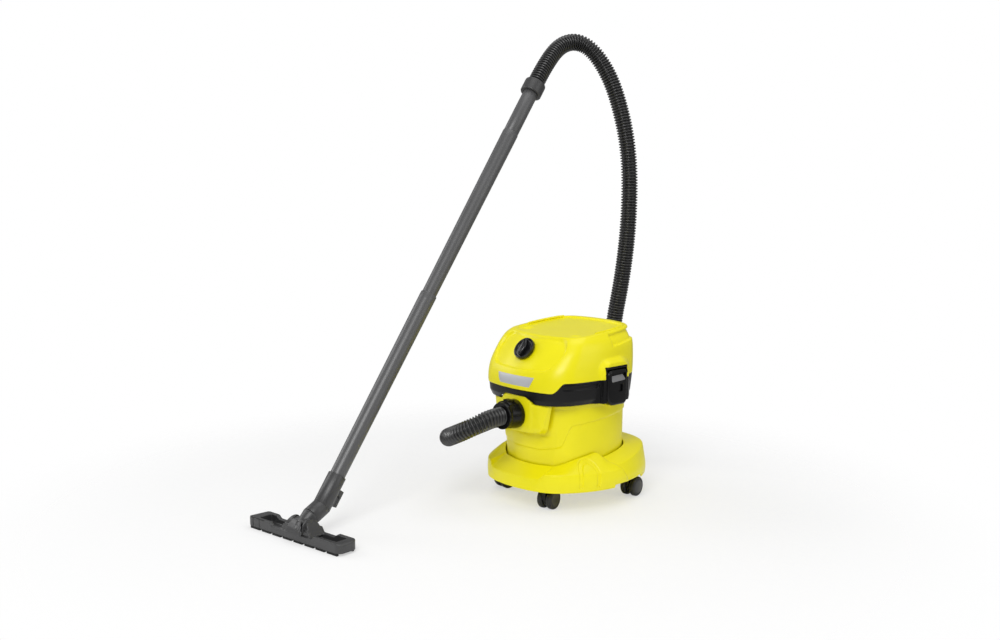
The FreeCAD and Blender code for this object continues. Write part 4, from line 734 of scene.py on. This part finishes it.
class HeadForm:
    """Outlines of the head at every height, ready to be sampled."""

    step = 1.0
    levels = np.arange(HEAD_ROWS[0, 0], HEAD_ROWS[-1, 0], step)
    sizes = eased(HEAD_ROWS[:, 0], HEAD_ROWS[:, 1:], levels)
    plans = np.array([bulged_plan(*size, HEAD_BULGE_R) for size in sizes])

    @classmethod
    def at(cls, z):
        """Plan points at a height for each station round the outline."""
        z = np.asarray(z, float)
        t = np.clip((z - cls.levels[0]) / cls.step, 0, len(cls.levels) - 1.001)
        k = t.astype(int)
        share = (t - k)[:, None]
        i = np.arange(cls.plans.shape[1])
        return cls.plans[k, i] * (1 - share) + cls.plans[k + 1, i] * share


def split_z(y):
    """Height of the shell's lower edge."""
    return between(SPLIT_Z, ramp(y, *SPLIT_STEP))


def top_z(y):
    """Height of the shell's top, without the tray."""
    return TOP_FRONT_Z + TOP_RISE * (y - TOP_FRONT_Y)


SETTLE_FROM_Z = 350.0
SETTLE_ROUNDS = 12


def settle(level_of):
    """Heights round the outline that satisfy z = level_of(y) on the head's surface."""
    z = np.full(HeadForm.plans.shape[1], SETTLE_FROM_Z)
    for _ in range(SETTLE_ROUNDS):
        z = level_of(HeadForm.at(z)[:, 1])
    return z


def box_distance(u, v, half_u, half_v, corner):
    """Distance outside a rounded rectangle, negative inside."""
    qu = np.abs(u) - half_u + corner
    qv = np.abs(v) - half_v + corner
    return np.hypot(np.maximum(qu, 0), np.maximum(qv, 0)) + np.minimum(np.maximum(qu, qv), 0) - corner


BULGE_X = 161.0
BULGE_HALF = 38.0
BULGE_TOP_Z = 342.0
BULGE_CORNER = 22.0
BULGE_SLOPE = (0.83, 1.33)
BULGE_BLEND = 2.5
BULGE_REACH = 60.0
BULGE_INNER_X = 100.0


def latch_bulge(points):
    """Swells both sides of the head out to the latches."""
    x, y, z = points.T
    qy = np.maximum(np.abs(y - LATCH_MID_Y) - BULGE_HALF + BULGE_CORNER, 0)
    qz = np.maximum(z - BULGE_TOP_Z + BULGE_CORNER, 0)
    away = np.hypot(qy, qz)
    slope = (BULGE_SLOPE[0] * qy**2 + BULGE_SLOPE[1] * qz**2) / np.maximum(away**2, 1e-6)
    face = BULGE_X - np.maximum(away - BULGE_CORNER, 0) * slope
    reach = smooth_max(np.abs(x), face, BULGE_BLEND)
    near = (away < BULGE_REACH) & (np.abs(x) > BULGE_INNER_X)
    return np.column_stack([np.where(near, np.sign(x) * reach, x), y, z])


PANEL_CENTRE_Z = 362.0
PANEL_HALF = (106.0, 34.0)
PANEL_CORNER = 33.0
PANEL_DEPTH = (3.8, 6.8)
PANEL_DEEP_X = (40.0, 95.0)
PANEL_EDGE = 4.5
PANEL_LIFT = 6.0
PANEL_BACK_Y = -60.0


def knob_panel(points):
    """How deep the soft panel round the switch is at each point."""
    x, y, z = points.T
    lift = PANEL_LIFT * (np.abs(x) / PANEL_HALF[0]) ** 3
    away = box_distance(x, z - lift - PANEL_CENTRE_Z, *PANEL_HALF, PANEL_CORNER)
    depth = between(PANEL_DEPTH, ramp(np.abs(x), *PANEL_DEEP_X))
    return np.where(y < PANEL_BACK_Y, depth * within(away, PANEL_EDGE), 0)


GRIP_START_Y = 7.0
GRIP_FOOT = (30.0, 377.0)
GRIP_FOOT_RISE = 0.10
GRIP_UNDER_TOP = 5.0
GRIP_EDGES = (5.0, 4.0, 3.0)
GRIP_INNER_X = 60.0
GRIP_DEPTH = 6.0


def rear_grip(points):
    """How deep the finger grips under the top's rear corners are."""
    x, y, z = points.T
    foot = GRIP_FOOT[1] + GRIP_FOOT_RISE * (y - GRIP_FOOT[0])
    side = smoothstep((y - GRIP_START_Y) / GRIP_EDGES[0])
    side = side * smoothstep((z - foot) / GRIP_EDGES[1])
    side = side * smoothstep((top_z(y) - GRIP_UNDER_TOP - z) / GRIP_EDGES[2])
    return np.where(np.abs(x) > GRIP_INNER_X, GRIP_DEPTH * side, 0)


def surface_normals(rings):
    """Outward normals of a ring surface."""
    across = np.gradient(rings, axis=0)
    around = np.roll(rings, -1, 1) - np.roll(rings, 1, 1)
    normal = np.cross(around, across)
    return normal / (np.linalg.norm(normal, axis=2)[:, :, None] + 1e-12)


def along_rings(rings, first, last, passes):
    """Rounds creases that run round the form by averaging neighbouring rings."""
    for _ in range(passes):
        middle = (rings[first - 1:last - 1] + 2 * rings[first:last] + rings[first + 1:last + 1]) / 4
        rings = np.concatenate([rings[:first], middle, rings[last:]])
    return rings


DIMPLES = ((-84.0, -50.0), (88.0, -60.0))
DIMPLE_R = 13.0
DIMPLE_DEPTH = 4.5
DIMPLE_CREST = 1.4
SIDE_ROWS = 80
TOP_ROWS = (4, 5, 4)
TRAY_ROWS = 20
TRAY_ROW = SIDE_ROWS + TOP_ROWS[0] + TOP_ROWS[1]
RIM_ROUNDING = (SIDE_ROWS - 7, SIDE_ROWS + 4, 6)
TRAY_ROUNDING = (TRAY_ROW - 2, TRAY_ROW + 4, 1)
UNSUNK_ROW = SIDE_ROWS + 3
TOP_RIM = 9.0
TRAY_SLOPE = 2.0
SHELL_SHARP = 60


def tray_outline(amount):
    plan = bulged_plan(*TRAY, TRAY_CORNER_R, HEAD_BULGE_R)
    return inset(plan, amount)


def head_rings():
    """Rings up the head's side, over its rim, down into the tray and towards the tray's middle."""
    low = settle(split_z)
    high = settle(top_z)
    side = []
    for t in np.linspace(0, 1, SIDE_ROWS):
        z = low + (high - low) * t
        side.append(np.column_stack([HeadForm.at(z), z]))
    edge = side[-1][:, :2]
    level = np.zeros(len(edge))
    flats = [
        np.column_stack([edge, level]),
        np.column_stack([inset(edge, TOP_RIM), level]),
        np.column_stack([tray_outline(0.0), level]),
        np.column_stack([tray_outline(TRAY_SLOPE), level - TRAY_DEPTH]),
    ]
    top = []
    for a, b, count in zip(flats, flats[1:], TOP_ROWS):
        for k in range(1, count + 1):
            top.append(a + (b - a) * k / count)
    centre = np.array([0, (TRAY[1] + TRAY[2]) / 2, -TRAY_DEPTH])
    for k in range(1, TRAY_ROWS):
        top.append(centre + (flats[-1] - centre) * (1 - k / TRAY_ROWS))
    for ring in top:
        ring[:, 2] += top_z(ring[:, 1])
    return np.array(side + top)


def make_head_shell():
    rings = along_rings(head_rings(), *RIM_ROUNDING)
    rings = along_rings(rings, *TRAY_ROUNDING)
    flat = latch_bulge(rings.reshape(-1, 3))
    rings = flat.reshape(rings.shape)
    depth = (knob_panel(flat) + rear_grip(flat)).reshape(rings.shape[:2])
    depth[UNSUNK_ROW:] = 0
    rings = rings - surface_normals(rings) * depth[:, :, None]
    on_tray = np.arange(len(rings))[:, None] > TRAY_ROW
    for x, y in DIMPLES:
        away = np.hypot(rings[:, :, 0] - x, rings[:, :, 1] - y)
        sunk = DIMPLE_DEPTH * smoothstep(DIMPLE_CREST - away / DIMPLE_R)
        rings[:, :, 2] -= np.where(on_tray, sunk, 0)
    points, faces = skin(rings, "open", "fan")
    shell = piece("head_shell_skin", points, faces, "yellow_plastic", "head", ("head_shell",), SHELL_SHARP)
    for way in (1, -1):
        open_window(shell, way)
    thick = shell.modifiers.new("wall", "SOLIDIFY")
    thick.thickness = WALL * MM
    thick.offset = -1


WINDOW_MARGIN = 2.5
WINDOW_INNER_X = 100.0
WINDOW_LIMIT_Z = 360.0


def beside_window(face, way):
    """Whether a face lies low on one side of the shell."""
    middle = face.calc_center_median()
    return (middle.x - AXIS[0]) * way > WINDOW_INNER_X * MM and middle.z < WINDOW_LIMIT_Z * MM


def open_window(shell, way):
    """Opens the shell behind a latch frame, a little smaller than the frame."""
    y0 = LATCH_MID_Y - FRAME_HALF + WINDOW_MARGIN - WINDOW_WIDER
    y1 = LATCH_MID_Y + FRAME_HALF - WINDOW_MARGIN
    z1 = FRAME_TOP_Z - WINDOW_MARGIN
    bm = bmesh.new()
    bm.from_mesh(shell.data)
    cuts = (((0, y0, 0), (0, 1, 0)), ((0, y1, 0), (0, 1, 0)), ((0, 0, z1), (0, 0, 1)))
    for place, normal in cuts:
        near = [f for f in bm.faces if beside_window(f, way)]
        geometry = near + [e for f in near for e in f.edges] + [v for f in near for v in f.verts]
        bmesh.ops.bisect_plane(bm, geom=list(set(geometry)), plane_co=row([place])[0], plane_no=normal)
    gone = []
    for face in bm.faces:
        x, y, z = (np.array(face.calc_center_median()) - AXIS) / MM
        if x * way > WINDOW_INNER_X and y0 < y < y1 and z < z1:
            gone.append(face)
    bmesh.ops.delete(bm, geom=gone, context="FACES")
    bm.to_mesh(shell.data)
    bm.free()
    smooth_shade(shell.data, SHELL_SHARP)


make_head_shell()


# Tub, base and band: copies of their nodes with moulded details


def line_distance(u, v, line):
    """Distance to an open polyline, negative below it; the line runs towards smaller u."""
    best = np.full(len(u), 1e9)
    sign = np.ones(len(u))
    for (u0, v0), (u1, v1) in zip(line, line[1:]):
        du, dv = u1 - u0, v1 - v0
        t = np.clip(((u - u0) * du + (v - v0) * dv) / (du * du + dv * dv), 0, 1)
        away = np.hypot(u - u0 - t * du, v - v0 - t * dv)
        side = np.sign((u - u0) * dv - (v - v0) * du)
        nearer = away < best
        best = np.where(nearer, away, best)
        sign = np.where(nearer, side, sign)
    return best * sign


# Side panel of the tub: its upper edge as (y, z); the wall below it is sunk
TUB_CREASE = (
    (200.0, 224.0), (75.0, 215.0), (37.0, 213.0), (-16.0, 207.5), (-65.0, 203.0),
    (-86.0, 200.5), (-94.0, 197.6), (-98.5, 190.7), (-103.2, 176.6), (-107.6, 160.0),
    (-112.0, 149.0), (-119.4, 144.6), (-131.4, 138.0), (-230.0, 134.0),
)
TUB_CREASE_DEPTH = 2.6
TUB_CREASE_WIDTH = 3.0
TUB_INNER_R = 100.0
TUB_PANEL_TOP_Z = 240.0
PROW_WALL_Y = -118.0
PROW_FOOT_Z = 170.0
PROW_SIDE_X = (40.0, 70.0)
PROW_TAPER = 13.0
PROW_LENGTH = 38.0
CHIN_TOP_Z = 197.0
CHIN_RISE = 24.0
CHIN_BACK = 12.0
CHIN_NARROW = 0.30
CHIN_START = 17.0
CHIN_EASE = 15.0
CHIN_STEEP = 0.98
OUTWARD = 0.3


def outer_side(points, normals):
    """Where a point lies on an outward wall."""
    flat = points[:, :2] / (np.linalg.norm(points[:, :2], axis=1)[:, None] + 1e-9)
    return np.sum(flat * normals[:, :2], 1) > OUTWARD


def tub_detail(points, normals):
    """Sinks the side panel, and rounds the prow's sides and chin."""
    x, y, z = points.T
    away = line_distance(y, z, TUB_CREASE)
    depth = TUB_CREASE_DEPTH * within(away, TUB_CREASE_WIDTH)
    tub = outer_side(points, normals) & (np.hypot(x, y) > TUB_INNER_R) & (z < TUB_PANEL_TOP_Z)
    moved = points - normals * np.where(tub, depth, 0)[:, None]
    x, y, z = moved.T
    proud = np.clip((PROW_WALL_Y - y) / PROW_LENGTH, 0, 1)
    wide = ramp(np.abs(x), *PROW_SIDE_X)
    chin = np.clip((CHIN_TOP_Z - z) / CHIN_RISE, 0, 1)
    on_prow = z > PROW_FOOT_Z
    front = smoothstep((PROW_WALL_Y - CHIN_START - y) / CHIN_EASE) * on_prow
    x = x - np.sign(x) * wide * PROW_TAPER * smoothstep(proud) * on_prow
    x = x * (1 - CHIN_NARROW * chin**2 * wide * proud)
    y = y + CHIN_BACK * (1 - np.sqrt(1 - CHIN_STEEP * chin**2)) * front
    return np.column_stack([x, y, z])


# Base: the skirt stands wider, and an arch is grooved into each front lobe
SKIRT_WIDER = (3.0, 8.0)
SKIRT_REAR = (3.5, 5.5)
SKIRT_RISE = (36.0, 78.0)
SKIRT_SHARE = (0.80, 0.93)
BASE_HALF = (168.0, 184.5)
BASE_MID_Y = 2.5
BASE_POWER = 2.6
ARCH_PLACE = (151.0, -81.0)
ARCH_R = 21.5
ARCH_WIDTH = 8.5
ARCH_DEPTH = 5.0
ARCH_FOOT_Z = 60.0
ARCH_EASE = 4.0
GROOVE_CREST = 1.3
DECK_FACING = 0.4
LOBE_RAISE = 10.0
LOBE_TURN = (-58.0, -4.0)
LOBE_EASE = (26.0, 9.0)
LOBE_SHARE = (0.80, 0.97)
LOBE_Z = (82.0, 140.0)


def groove(away, half_width):
    """Share of a groove's depth at a distance from its middle line."""
    return smoothstep(GROOVE_CREST - away / half_width)


def base_detail(points, normals):
    """Widens the skirt, raises the front lobes and grooves an arch into each."""
    x, y, z = points.T
    size = ((np.abs(x) / BASE_HALF[0]) ** BASE_POWER
            + (np.abs(y - BASE_MID_Y) / BASE_HALF[1]) ** BASE_POWER) ** (1 / BASE_POWER)
    rim = ramp(size, *SKIRT_SHARE)
    high = ramp(z, *SKIRT_RISE)
    wider = x / BASE_HALF[0] * (SKIRT_WIDER[0] + SKIRT_WIDER[1] * high) * rim
    longer = np.maximum(y, 0) / BASE_HALF[1] * (SKIRT_REAR[0] + SKIRT_REAR[1] * high) * rim
    away = np.abs(np.hypot(np.abs(x) - ARCH_PLACE[0], y - ARCH_PLACE[1]) - ARCH_R)
    arch = ARCH_DEPTH * groove(away, ARCH_WIDTH / 2) * smoothstep((z - ARCH_FOOT_Z) / ARCH_EASE)
    outer = outer_side(points, normals) | (normals[:, 2] > DECK_FACING)
    moved = points - normals * np.where(outer & (z > ARCH_FOOT_Z), arch, 0)[:, None]
    turn = np.degrees(np.arctan2(y, np.abs(x)))
    lobe = smoothstep((turn - LOBE_TURN[0]) / LOBE_EASE[0]) * smoothstep((LOBE_TURN[1] - turn) / LOBE_EASE[1])
    inward = 1 - ramp(size, *LOBE_SHARE)
    raised = LOBE_RAISE * lobe * inward * (z > LOBE_Z[0]) * (z < LOBE_Z[1])
    return moved + np.column_stack([wider, longer, raised])


# Band: a slot under its upper strip and an upright joint beside the latch
SLOT_Y = (-136.0, -46.0)
SLOT_Z = (288.5, 297.0)
SLOT_DEPTH = 3.0
SLOT_CORNER = 2.0
SLOT_EDGE = 1.6
JOINT_Y = -42.5
JOINT_DEPTH = 1.4
JOINT_WIDTH = 1.2
BAND_INNER_X = 90.0
SURROUND_SHIFT = 6.0
SURROUND_Y = (-42.0, -34.0, -25.0, -21.0)
SURROUND_X = 148.0


def band_detail(points, normals):
    """Cuts the slot and the joint, and moves the latch surrounds' front walls forwards."""
    x, y, z = points.T
    front_wall = ramp(y, SURROUND_Y[0], SURROUND_Y[1])
    front_wall = front_wall * smoothstep((SURROUND_Y[3] - y) / (SURROUND_Y[3] - SURROUND_Y[2]))
    shift = SURROUND_SHIFT * front_wall * (np.abs(x) > SURROUND_X)
    middle, half = sum(SLOT_Y) / 2, (SLOT_Y[1] - SLOT_Y[0]) / 2
    level, rise = sum(SLOT_Z) / 2, (SLOT_Z[1] - SLOT_Z[0]) / 2
    away = box_distance(y - middle, z - level, half, rise, SLOT_CORNER)
    slot = SLOT_DEPTH * within(away, SLOT_EDGE)
    joint = JOINT_DEPTH * smoothstep(JOINT_WIDTH - np.abs(y - JOINT_Y) / JOINT_WIDTH)
    depth = np.maximum(slot, joint)
    wall = outer_side(points, normals) & (np.abs(x) > BAND_INNER_X)
    moved = points - normals * np.where(wall, depth, 0)[:, None]
    return moved - np.column_stack([np.zeros(len(x)), shift, np.zeros(len(x))])


moulded("container_skin", "container", voxel=1.5, passes=6, detail=tub_detail)
moulded("chassis_skin", "chassis", voxel=1.5, passes=6, detail=base_detail)
moulded("head_band_skin", "head_band", voxel=1.1, passes=3, detail=band_detail)


def carve(obj, form):
    """Takes a closed form out of a piece."""
    mesh = mesh_of("cutter", *form)
    turn_outwards(mesh)
    cutter = draft(mesh)
    cut = obj.modifiers.new("carve", "BOOLEAN")
    cut.operation = "DIFFERENCE"
    cut.object = cutter
    bpy.context.view_layer.update()
    made = bpy.data.meshes.new_from_object(obj.evaluated_get(bpy.context.evaluated_depsgraph_get()))
    obj.modifiers.remove(cut)
    obj.data = made
    bpy.data.objects.remove(cutter)


# Latches: a pillowed lever with a sloped grip and a square slot; plan points are (y, z)
LATCH_PLAN = ((-31.0, 243.0), (33.0, 243.0), (33.0, 326.0), (-31.0, 326.0))
LATCH_CORNERS = (20.0, 12.0, 9.0, 14.0)
LATCH_X = (150.0, 166.0)
LATCH_EDGE = 6.0
LATCH_EDGE_STEPS = 6
LATCH_SHARP = 30
GRIP_FLOOR = ((166.0, 297.0), (161.0, 314.0))
GRIP_TOP_Z = 317.5
GRIP_Y = (-20.5, 27.5)
GRIP_OUT = 9.0
PAD_PLAN = ((-19.0, 298.2), (26.5, 300.2), (19.5, 313.2), (-19.0, 311.6))
PAD_CORNER = 2.0
PAD_THICK = 0.9
SLOT_PLAN = ((3.0, 274.5), (16.5, 274.5), (16.5, 291.0), (3.0, 291.0))
SLOT_PLAN_CORNER = 1.5
SLOT_FLOOR_X = 162.5
SLOT_OUT = 5.0


def side_plate(plan, corners, x0, x1, edge, way, steps=1):
    """A plate from a (y, z) plan, pushed outwards on one side of the machine."""
    flat = softened(plan, corners)
    matrix = axes((way * x0, 0, 0), (way, 0, 0))
    sideways = flat * (way, 1)
    return pushed(sideways, x1 - x0, edge, matrix, steps)


def make_latch(node_name, way):
    body = body_of(node_name)
    form = side_plate(LATCH_PLAN, LATCH_CORNERS, *LATCH_X, (0, LATCH_EDGE), way, LATCH_EDGE_STEPS)
    latch = piece(node_name + "_skin", *form, "black_plastic", body, (node_name,), LATCH_SHARP)
    (x_low, z_low), (x_high, z_high) = GRIP_FLOOR
    x_out = x_low + GRIP_OUT
    wedge = [(x_low, z_low), (x_high, z_high), (x_high, GRIP_TOP_Z), (x_out, GRIP_TOP_Z), (x_out, z_low)]
    rings = [[(way * x, y, z) for x, z in wedge] for y in GRIP_Y]
    carve(latch, skin(rings, "flat", "flat"))
    carve(latch, side_plate(SLOT_PLAN, SLOT_PLAN_CORNER, SLOT_FLOOR_X, LATCH_X[1] + SLOT_OUT, 0, way))
    smooth_shade(latch.data, LATCH_SHARP)
    # The pad's lighter grey is partly its own tone and partly a painted highlight where the sloped grip floor
    # faces the light
    plan = softened(PAD_PLAN, PAD_CORNER)
    floor_x = np.interp(plan[:, 1], (z_low, z_high), (x_low, x_high))
    low = np.column_stack([way * floor_x, plan])
    rise, sink = z_high - z_low, x_low - x_high
    out = np.array([way * rise, 0, sink]) / math.hypot(rise, sink)
    pad_form = skin([low, low + out * PAD_THICK], "flat", "flat")
    pad = piece(node_name + "_pad", *pad_form, "grey_plastic", body)
    dress(pad, "grip_grey_and_highlight")


make_latch("latch_right", 1)
make_latch("latch_left", -1)

ROUND_STEPS = 72
FORM_SHARP = 35

# Switch knob: a dish with a rounded rim, as (height, radius), and a broad grip
KNOB_FOOT = (0.0, -134.5, 367.0)
KNOB_WAY = (0.0, -math.cos(math.radians(38.0)), math.sin(math.radians(38.0)))
KNOB_LIFT = 1.3
KNOB_R = 27.0
KNOB_HEIGHT = 9.0
KNOB_DISH = 4.5
KNOB_LENS = (8.8, 22.0)
KNOB_LENS_TIP = 3.0
KNOB_LENS_STEPS = 14
KNOB_GRIP_STEPS = 5
KNOB_GRIP_TOP = 16.0
KNOB_GRIP_EDGE = 4.0
KNOB_SINK = 1.0
KNOB_PROFILE = (
    (0.0, KNOB_R - 0.8), (1.0, KNOB_R), (KNOB_HEIGHT - 1.6, KNOB_R), (KNOB_HEIGHT - 0.5, KNOB_R - 0.5),
    (KNOB_HEIGHT, KNOB_R - 1.4), (KNOB_HEIGHT, KNOB_R - 2.4), (KNOB_HEIGHT - 0.8, KNOB_R - 3.2),
    (KNOB_DISH + 0.8, KNOB_R - 4.2), (KNOB_DISH, KNOB_R - 5.2),
)


def lens(half_wide, half_long):
    """A plan of two arcs, pointed at both ends."""
    radius = (half_wide**2 + half_long**2) / (2 * half_wide)
    reach = math.asin(half_long / radius)
    turns = np.linspace(-reach, reach, KNOB_LENS_STEPS + 1)[:-1]
    side = np.column_stack([radius * np.cos(turns) - radius + half_wide, radius * np.sin(turns)])
    corners = ([KNOB_LENS_TIP] + [0.0] * (KNOB_LENS_STEPS - 1)) * 2
    return softened(np.vstack([side, -side]), corners)


def make_knob():
    matrix = axes(np.array(KNOB_FOOT) + np.array(KNOB_WAY) * KNOB_LIFT, KNOB_WAY)
    dish = turned(KNOB_PROFILE, matrix, ROUND_STEPS)
    raised = matrix.copy()
    raised[:3, 3] += matrix[:3, 2] * (KNOB_DISH - KNOB_SINK)
    depth = KNOB_GRIP_TOP - KNOB_DISH
    grip = pushed(lens(*KNOB_LENS), depth, (0, KNOB_GRIP_EDGE), raised, KNOB_GRIP_STEPS)
    body = body_of("switch_knob")
    form = joined(dish, grip)
    knob = piece("switch_knob_skin", *form, "black_plastic", body, ("switch_knob",), FORM_SHARP)
    dress(knob, "knob_black")


make_knob()

# Casters: twin wheels with rounded treads and domed caps, as (along the axle, radius)
WHEEL_R = 23.5
WHEEL_OFFSET = 12.0
CAP_R = 17.4
TREAD_PROFILE = (
    (-7.0, 16.0), (-7.0, 19.0), (-6.4, 21.4), (-4.8, 23.0), (-3.0, WHEEL_R), (3.0, WHEEL_R), (4.8, 23.0),
    (6.2, 21.8), (6.9, 20.2), (7.0, 18.8), (6.4, 18.0), (5.6, 17.6), (5.6, 15.0),
)
CAP_PROFILE = (
    (5.0, CAP_R), (6.6, CAP_R - 0.1), (7.2, CAP_R - 0.8), (7.4, CAP_R - 2.0), (8.0, 12.0), (8.4, 8.0),
    (8.6, 4.0), (8.7, 0.0),
)
CORNERS = ("front_left", "front_right", "rear_left", "rear_right")


def make_wheels(corner):
    joint = JOINTS["roll_" + corner]
    place = (np.array(joint["pos_m"]) - AXIS) / MM
    axle = np.array(joint["axis"])
    node_name = "caster_wheels_" + corner
    body = body_of(node_name)
    treads, caps = [], []
    for way in (1, -1):
        matrix = axes(place + axle * way * WHEEL_OFFSET, axle * way)
        treads.append(turned(TREAD_PROFILE, matrix, ROUND_STEPS))
        caps.append(turned(CAP_PROFILE, matrix, ROUND_STEPS))
    piece("wheels_" + corner, *joined(*treads), "wheel_rubber", body, (node_name,), FORM_SHARP)
    domes = piece("wheel_caps_" + corner, *joined(*caps), "wheel_rubber", body, sharp=FORM_SHARP)
    dress(domes, "wheel_cap")


for corner in CORNERS:
    make_wheels(corner)


# Nozzle: softened body with moulded seams, and the saddle that carries the neck
NOZZLE_FRONT_Y = -704.0
NOZZLE_FACING = -0.5
NOZZLE_SEAM_PITCH = 22.0
NOZZLE_SEAM = (1.8, 2.2)
NOZZLE_END_R = 16.0
NOZZLE_END_Z = (12.0, 40.0)
NOZZLE_END_STEEP = 0.9
NOZZLE_LINE_Z = 27.0
SADDLE_WALL = 2.5
SADDLE_RISE = ((-700.0, 24.0), (-697.0, 33.0), (-691.5, 42.0), (-686.5, 47.0), (-683.0, 49.0))
SADDLE_LEFT = (-150.0, -141.0)
SADDLE_RIGHT = (-90.0, -108.0)
SADDLE_PANEL_LEFT = (-114.0, -125.0)
SADDLE_PANEL_RIGHT = (-95.0, -112.0)
SADDLE_PANEL_DEPTH = 2.2
SADDLE_PANEL_EDGE = 3.0
SADDLE_PANEL_ENDS = (0.12, 0.92)
SADDLE_PANEL_EASE = 0.1
SADDLE_TURN = 1.25
SADDLE_RIM = 1.6
SADDLE_RIM_SHARE = 0.04
SADDLE_BEND_R = 20.0
SADDLE_COLUMNS = 41
CHEEK_X = (-103.0, -99.0)
CHEEK_PLAN = (
    (-690.0, 24.0), (-688.0, 40.0), (-679.0, 50.0), (-671.0, 54.0), (-665.0, 50.0), (-658.0, 38.0),
    (-647.0, 28.0), (-647.0, 22.0),
)
CHEEK_CORNERS = (2, 14, 14, 7, 10, 22, 6, 2)
CHEEK_EDGE = 1.4
CHEEK_EDGE_STEPS = 3


def nozzle_detail(points, normals):
    """Cuts the front's seams and rounds the upper ends."""
    x, y, z = points.T
    front = (normals[:, 1] < NOZZLE_FACING) & (y < NOZZLE_FRONT_Y)
    away = np.abs((x + NOZZLE_SEAM_PITCH / 2) % NOZZLE_SEAM_PITCH - NOZZLE_SEAM_PITCH / 2)
    seam = groove(away, NOZZLE_SEAM[0]) * (z < NOZZLE_LINE_Z)
    level = groove(np.abs(z - NOZZLE_LINE_Z), NOZZLE_SEAM[0])
    depth = NOZZLE_SEAM[1] * np.maximum(seam, level)
    moved = points - normals * np.where(front, depth, 0)[:, None]
    middle, half = (x.min() + x.max()) / 2, (x.max() - x.min()) / 2
    into = np.clip((np.abs(x - middle) - half + NOZZLE_END_R) / NOZZLE_END_R, 0, 1)
    low, high = NOZZLE_END_Z
    share = np.clip((z - low) / (high - low), 0, 1)
    moved[:, 2] -= NOZZLE_END_R * (1 - np.sqrt(1 - NOZZLE_END_STEEP * into**2)) * share
    return moved


def make_saddle():
    """The cover that rises from the front rail to the neck, and the cheek beside it."""
    body = body_of("nozzle_body")
    rise = softened(SADDLE_RISE, SADDLE_BEND_R, closed=False)
    way = np.gradient(rise, axis=0)
    way /= np.linalg.norm(way, axis=1)[:, None]
    out = np.column_stack([-way[:, 1], way[:, 0]])
    across = np.linspace(0, 1, SADDLE_COLUMNS)
    rim = smoothstep(1 - across / SADDLE_RIM_SHARE) + smoothstep(1 - (1 - across) / SADDLE_RIM_SHARE)
    rings = []
    for k, (place, face) in enumerate(zip(rise, out)):
        t = k / (len(rise) - 1)
        turn = math.sin(t * math.pi / 2)
        left = between(SADDLE_LEFT, math.sin(min(1.0, SADDLE_TURN * t) * math.pi / 2))
        right = between(SADDLE_RIGHT, turn)
        x = left + (right - left) * across
        start = between(SADDLE_PANEL_LEFT, t)
        end = between(SADDLE_PANEL_RIGHT, turn)
        panel = smoothstep((x - start) / SADDLE_PANEL_EDGE) * smoothstep((end - x) / SADDLE_PANEL_EDGE)
        sunk = SADDLE_PANEL_DEPTH * panel
        sunk = sunk * smoothstep((t - SADDLE_PANEL_ENDS[0]) / SADDLE_PANEL_EASE)
        sunk = sunk * smoothstep((SADDLE_PANEL_ENDS[1] - t) / SADDLE_PANEL_EASE)
        outside = place - face * (sunk + SADDLE_RIM * rim)[:, None]
        inside = np.tile(place - face * SADDLE_WALL, (SADDLE_COLUMNS, 1))
        rings.append(np.vstack([np.column_stack([x, outside]), np.column_stack([x, inside])[::-1]]))
    piece("nozzle_saddle", *skin(rings, "flat", "flat"), "grey_plastic", body, sharp=FORM_SHARP)
    cheek = side_plate(CHEEK_PLAN, CHEEK_CORNERS, *CHEEK_X, CHEEK_EDGE, 1, CHEEK_EDGE_STEPS)
    piece("nozzle_cheek", *cheek, "grey_plastic", body, sharp=FORM_SHARP)


moulded("nozzle_skin", "nozzle_body", voxel=1.2, passes=4, detail=nozzle_detail)
make_saddle()

# Every other node keeps its construction, with its edges rounded
EDGE_WIDTH = 0.6
EDGE_STEPS = 2
EDGE_SHARP = 35
WELD = 0.00002


def rounded(cad_node):
    """A construction node in its finish, with softened edges."""
    obj = frame["nodes"][cad_node]
    dress(obj, SLOT_OF[cad_node])
    weld = obj.modifiers.new("weld", "WELD")
    weld.merge_threshold = WELD
    bevel = obj.modifiers.new("edges", "BEVEL")
    bevel.width = EDGE_WIDTH * MM
    bevel.segments = EDGE_STEPS
    bevel.limit_method = "ANGLE"
    bevel.angle_limit = math.radians(EDGE_SHARP)
    bevel.harden_normals = True


for name in SLOT_OF:
    if name not in STOOD_FOR:
        rounded(name)
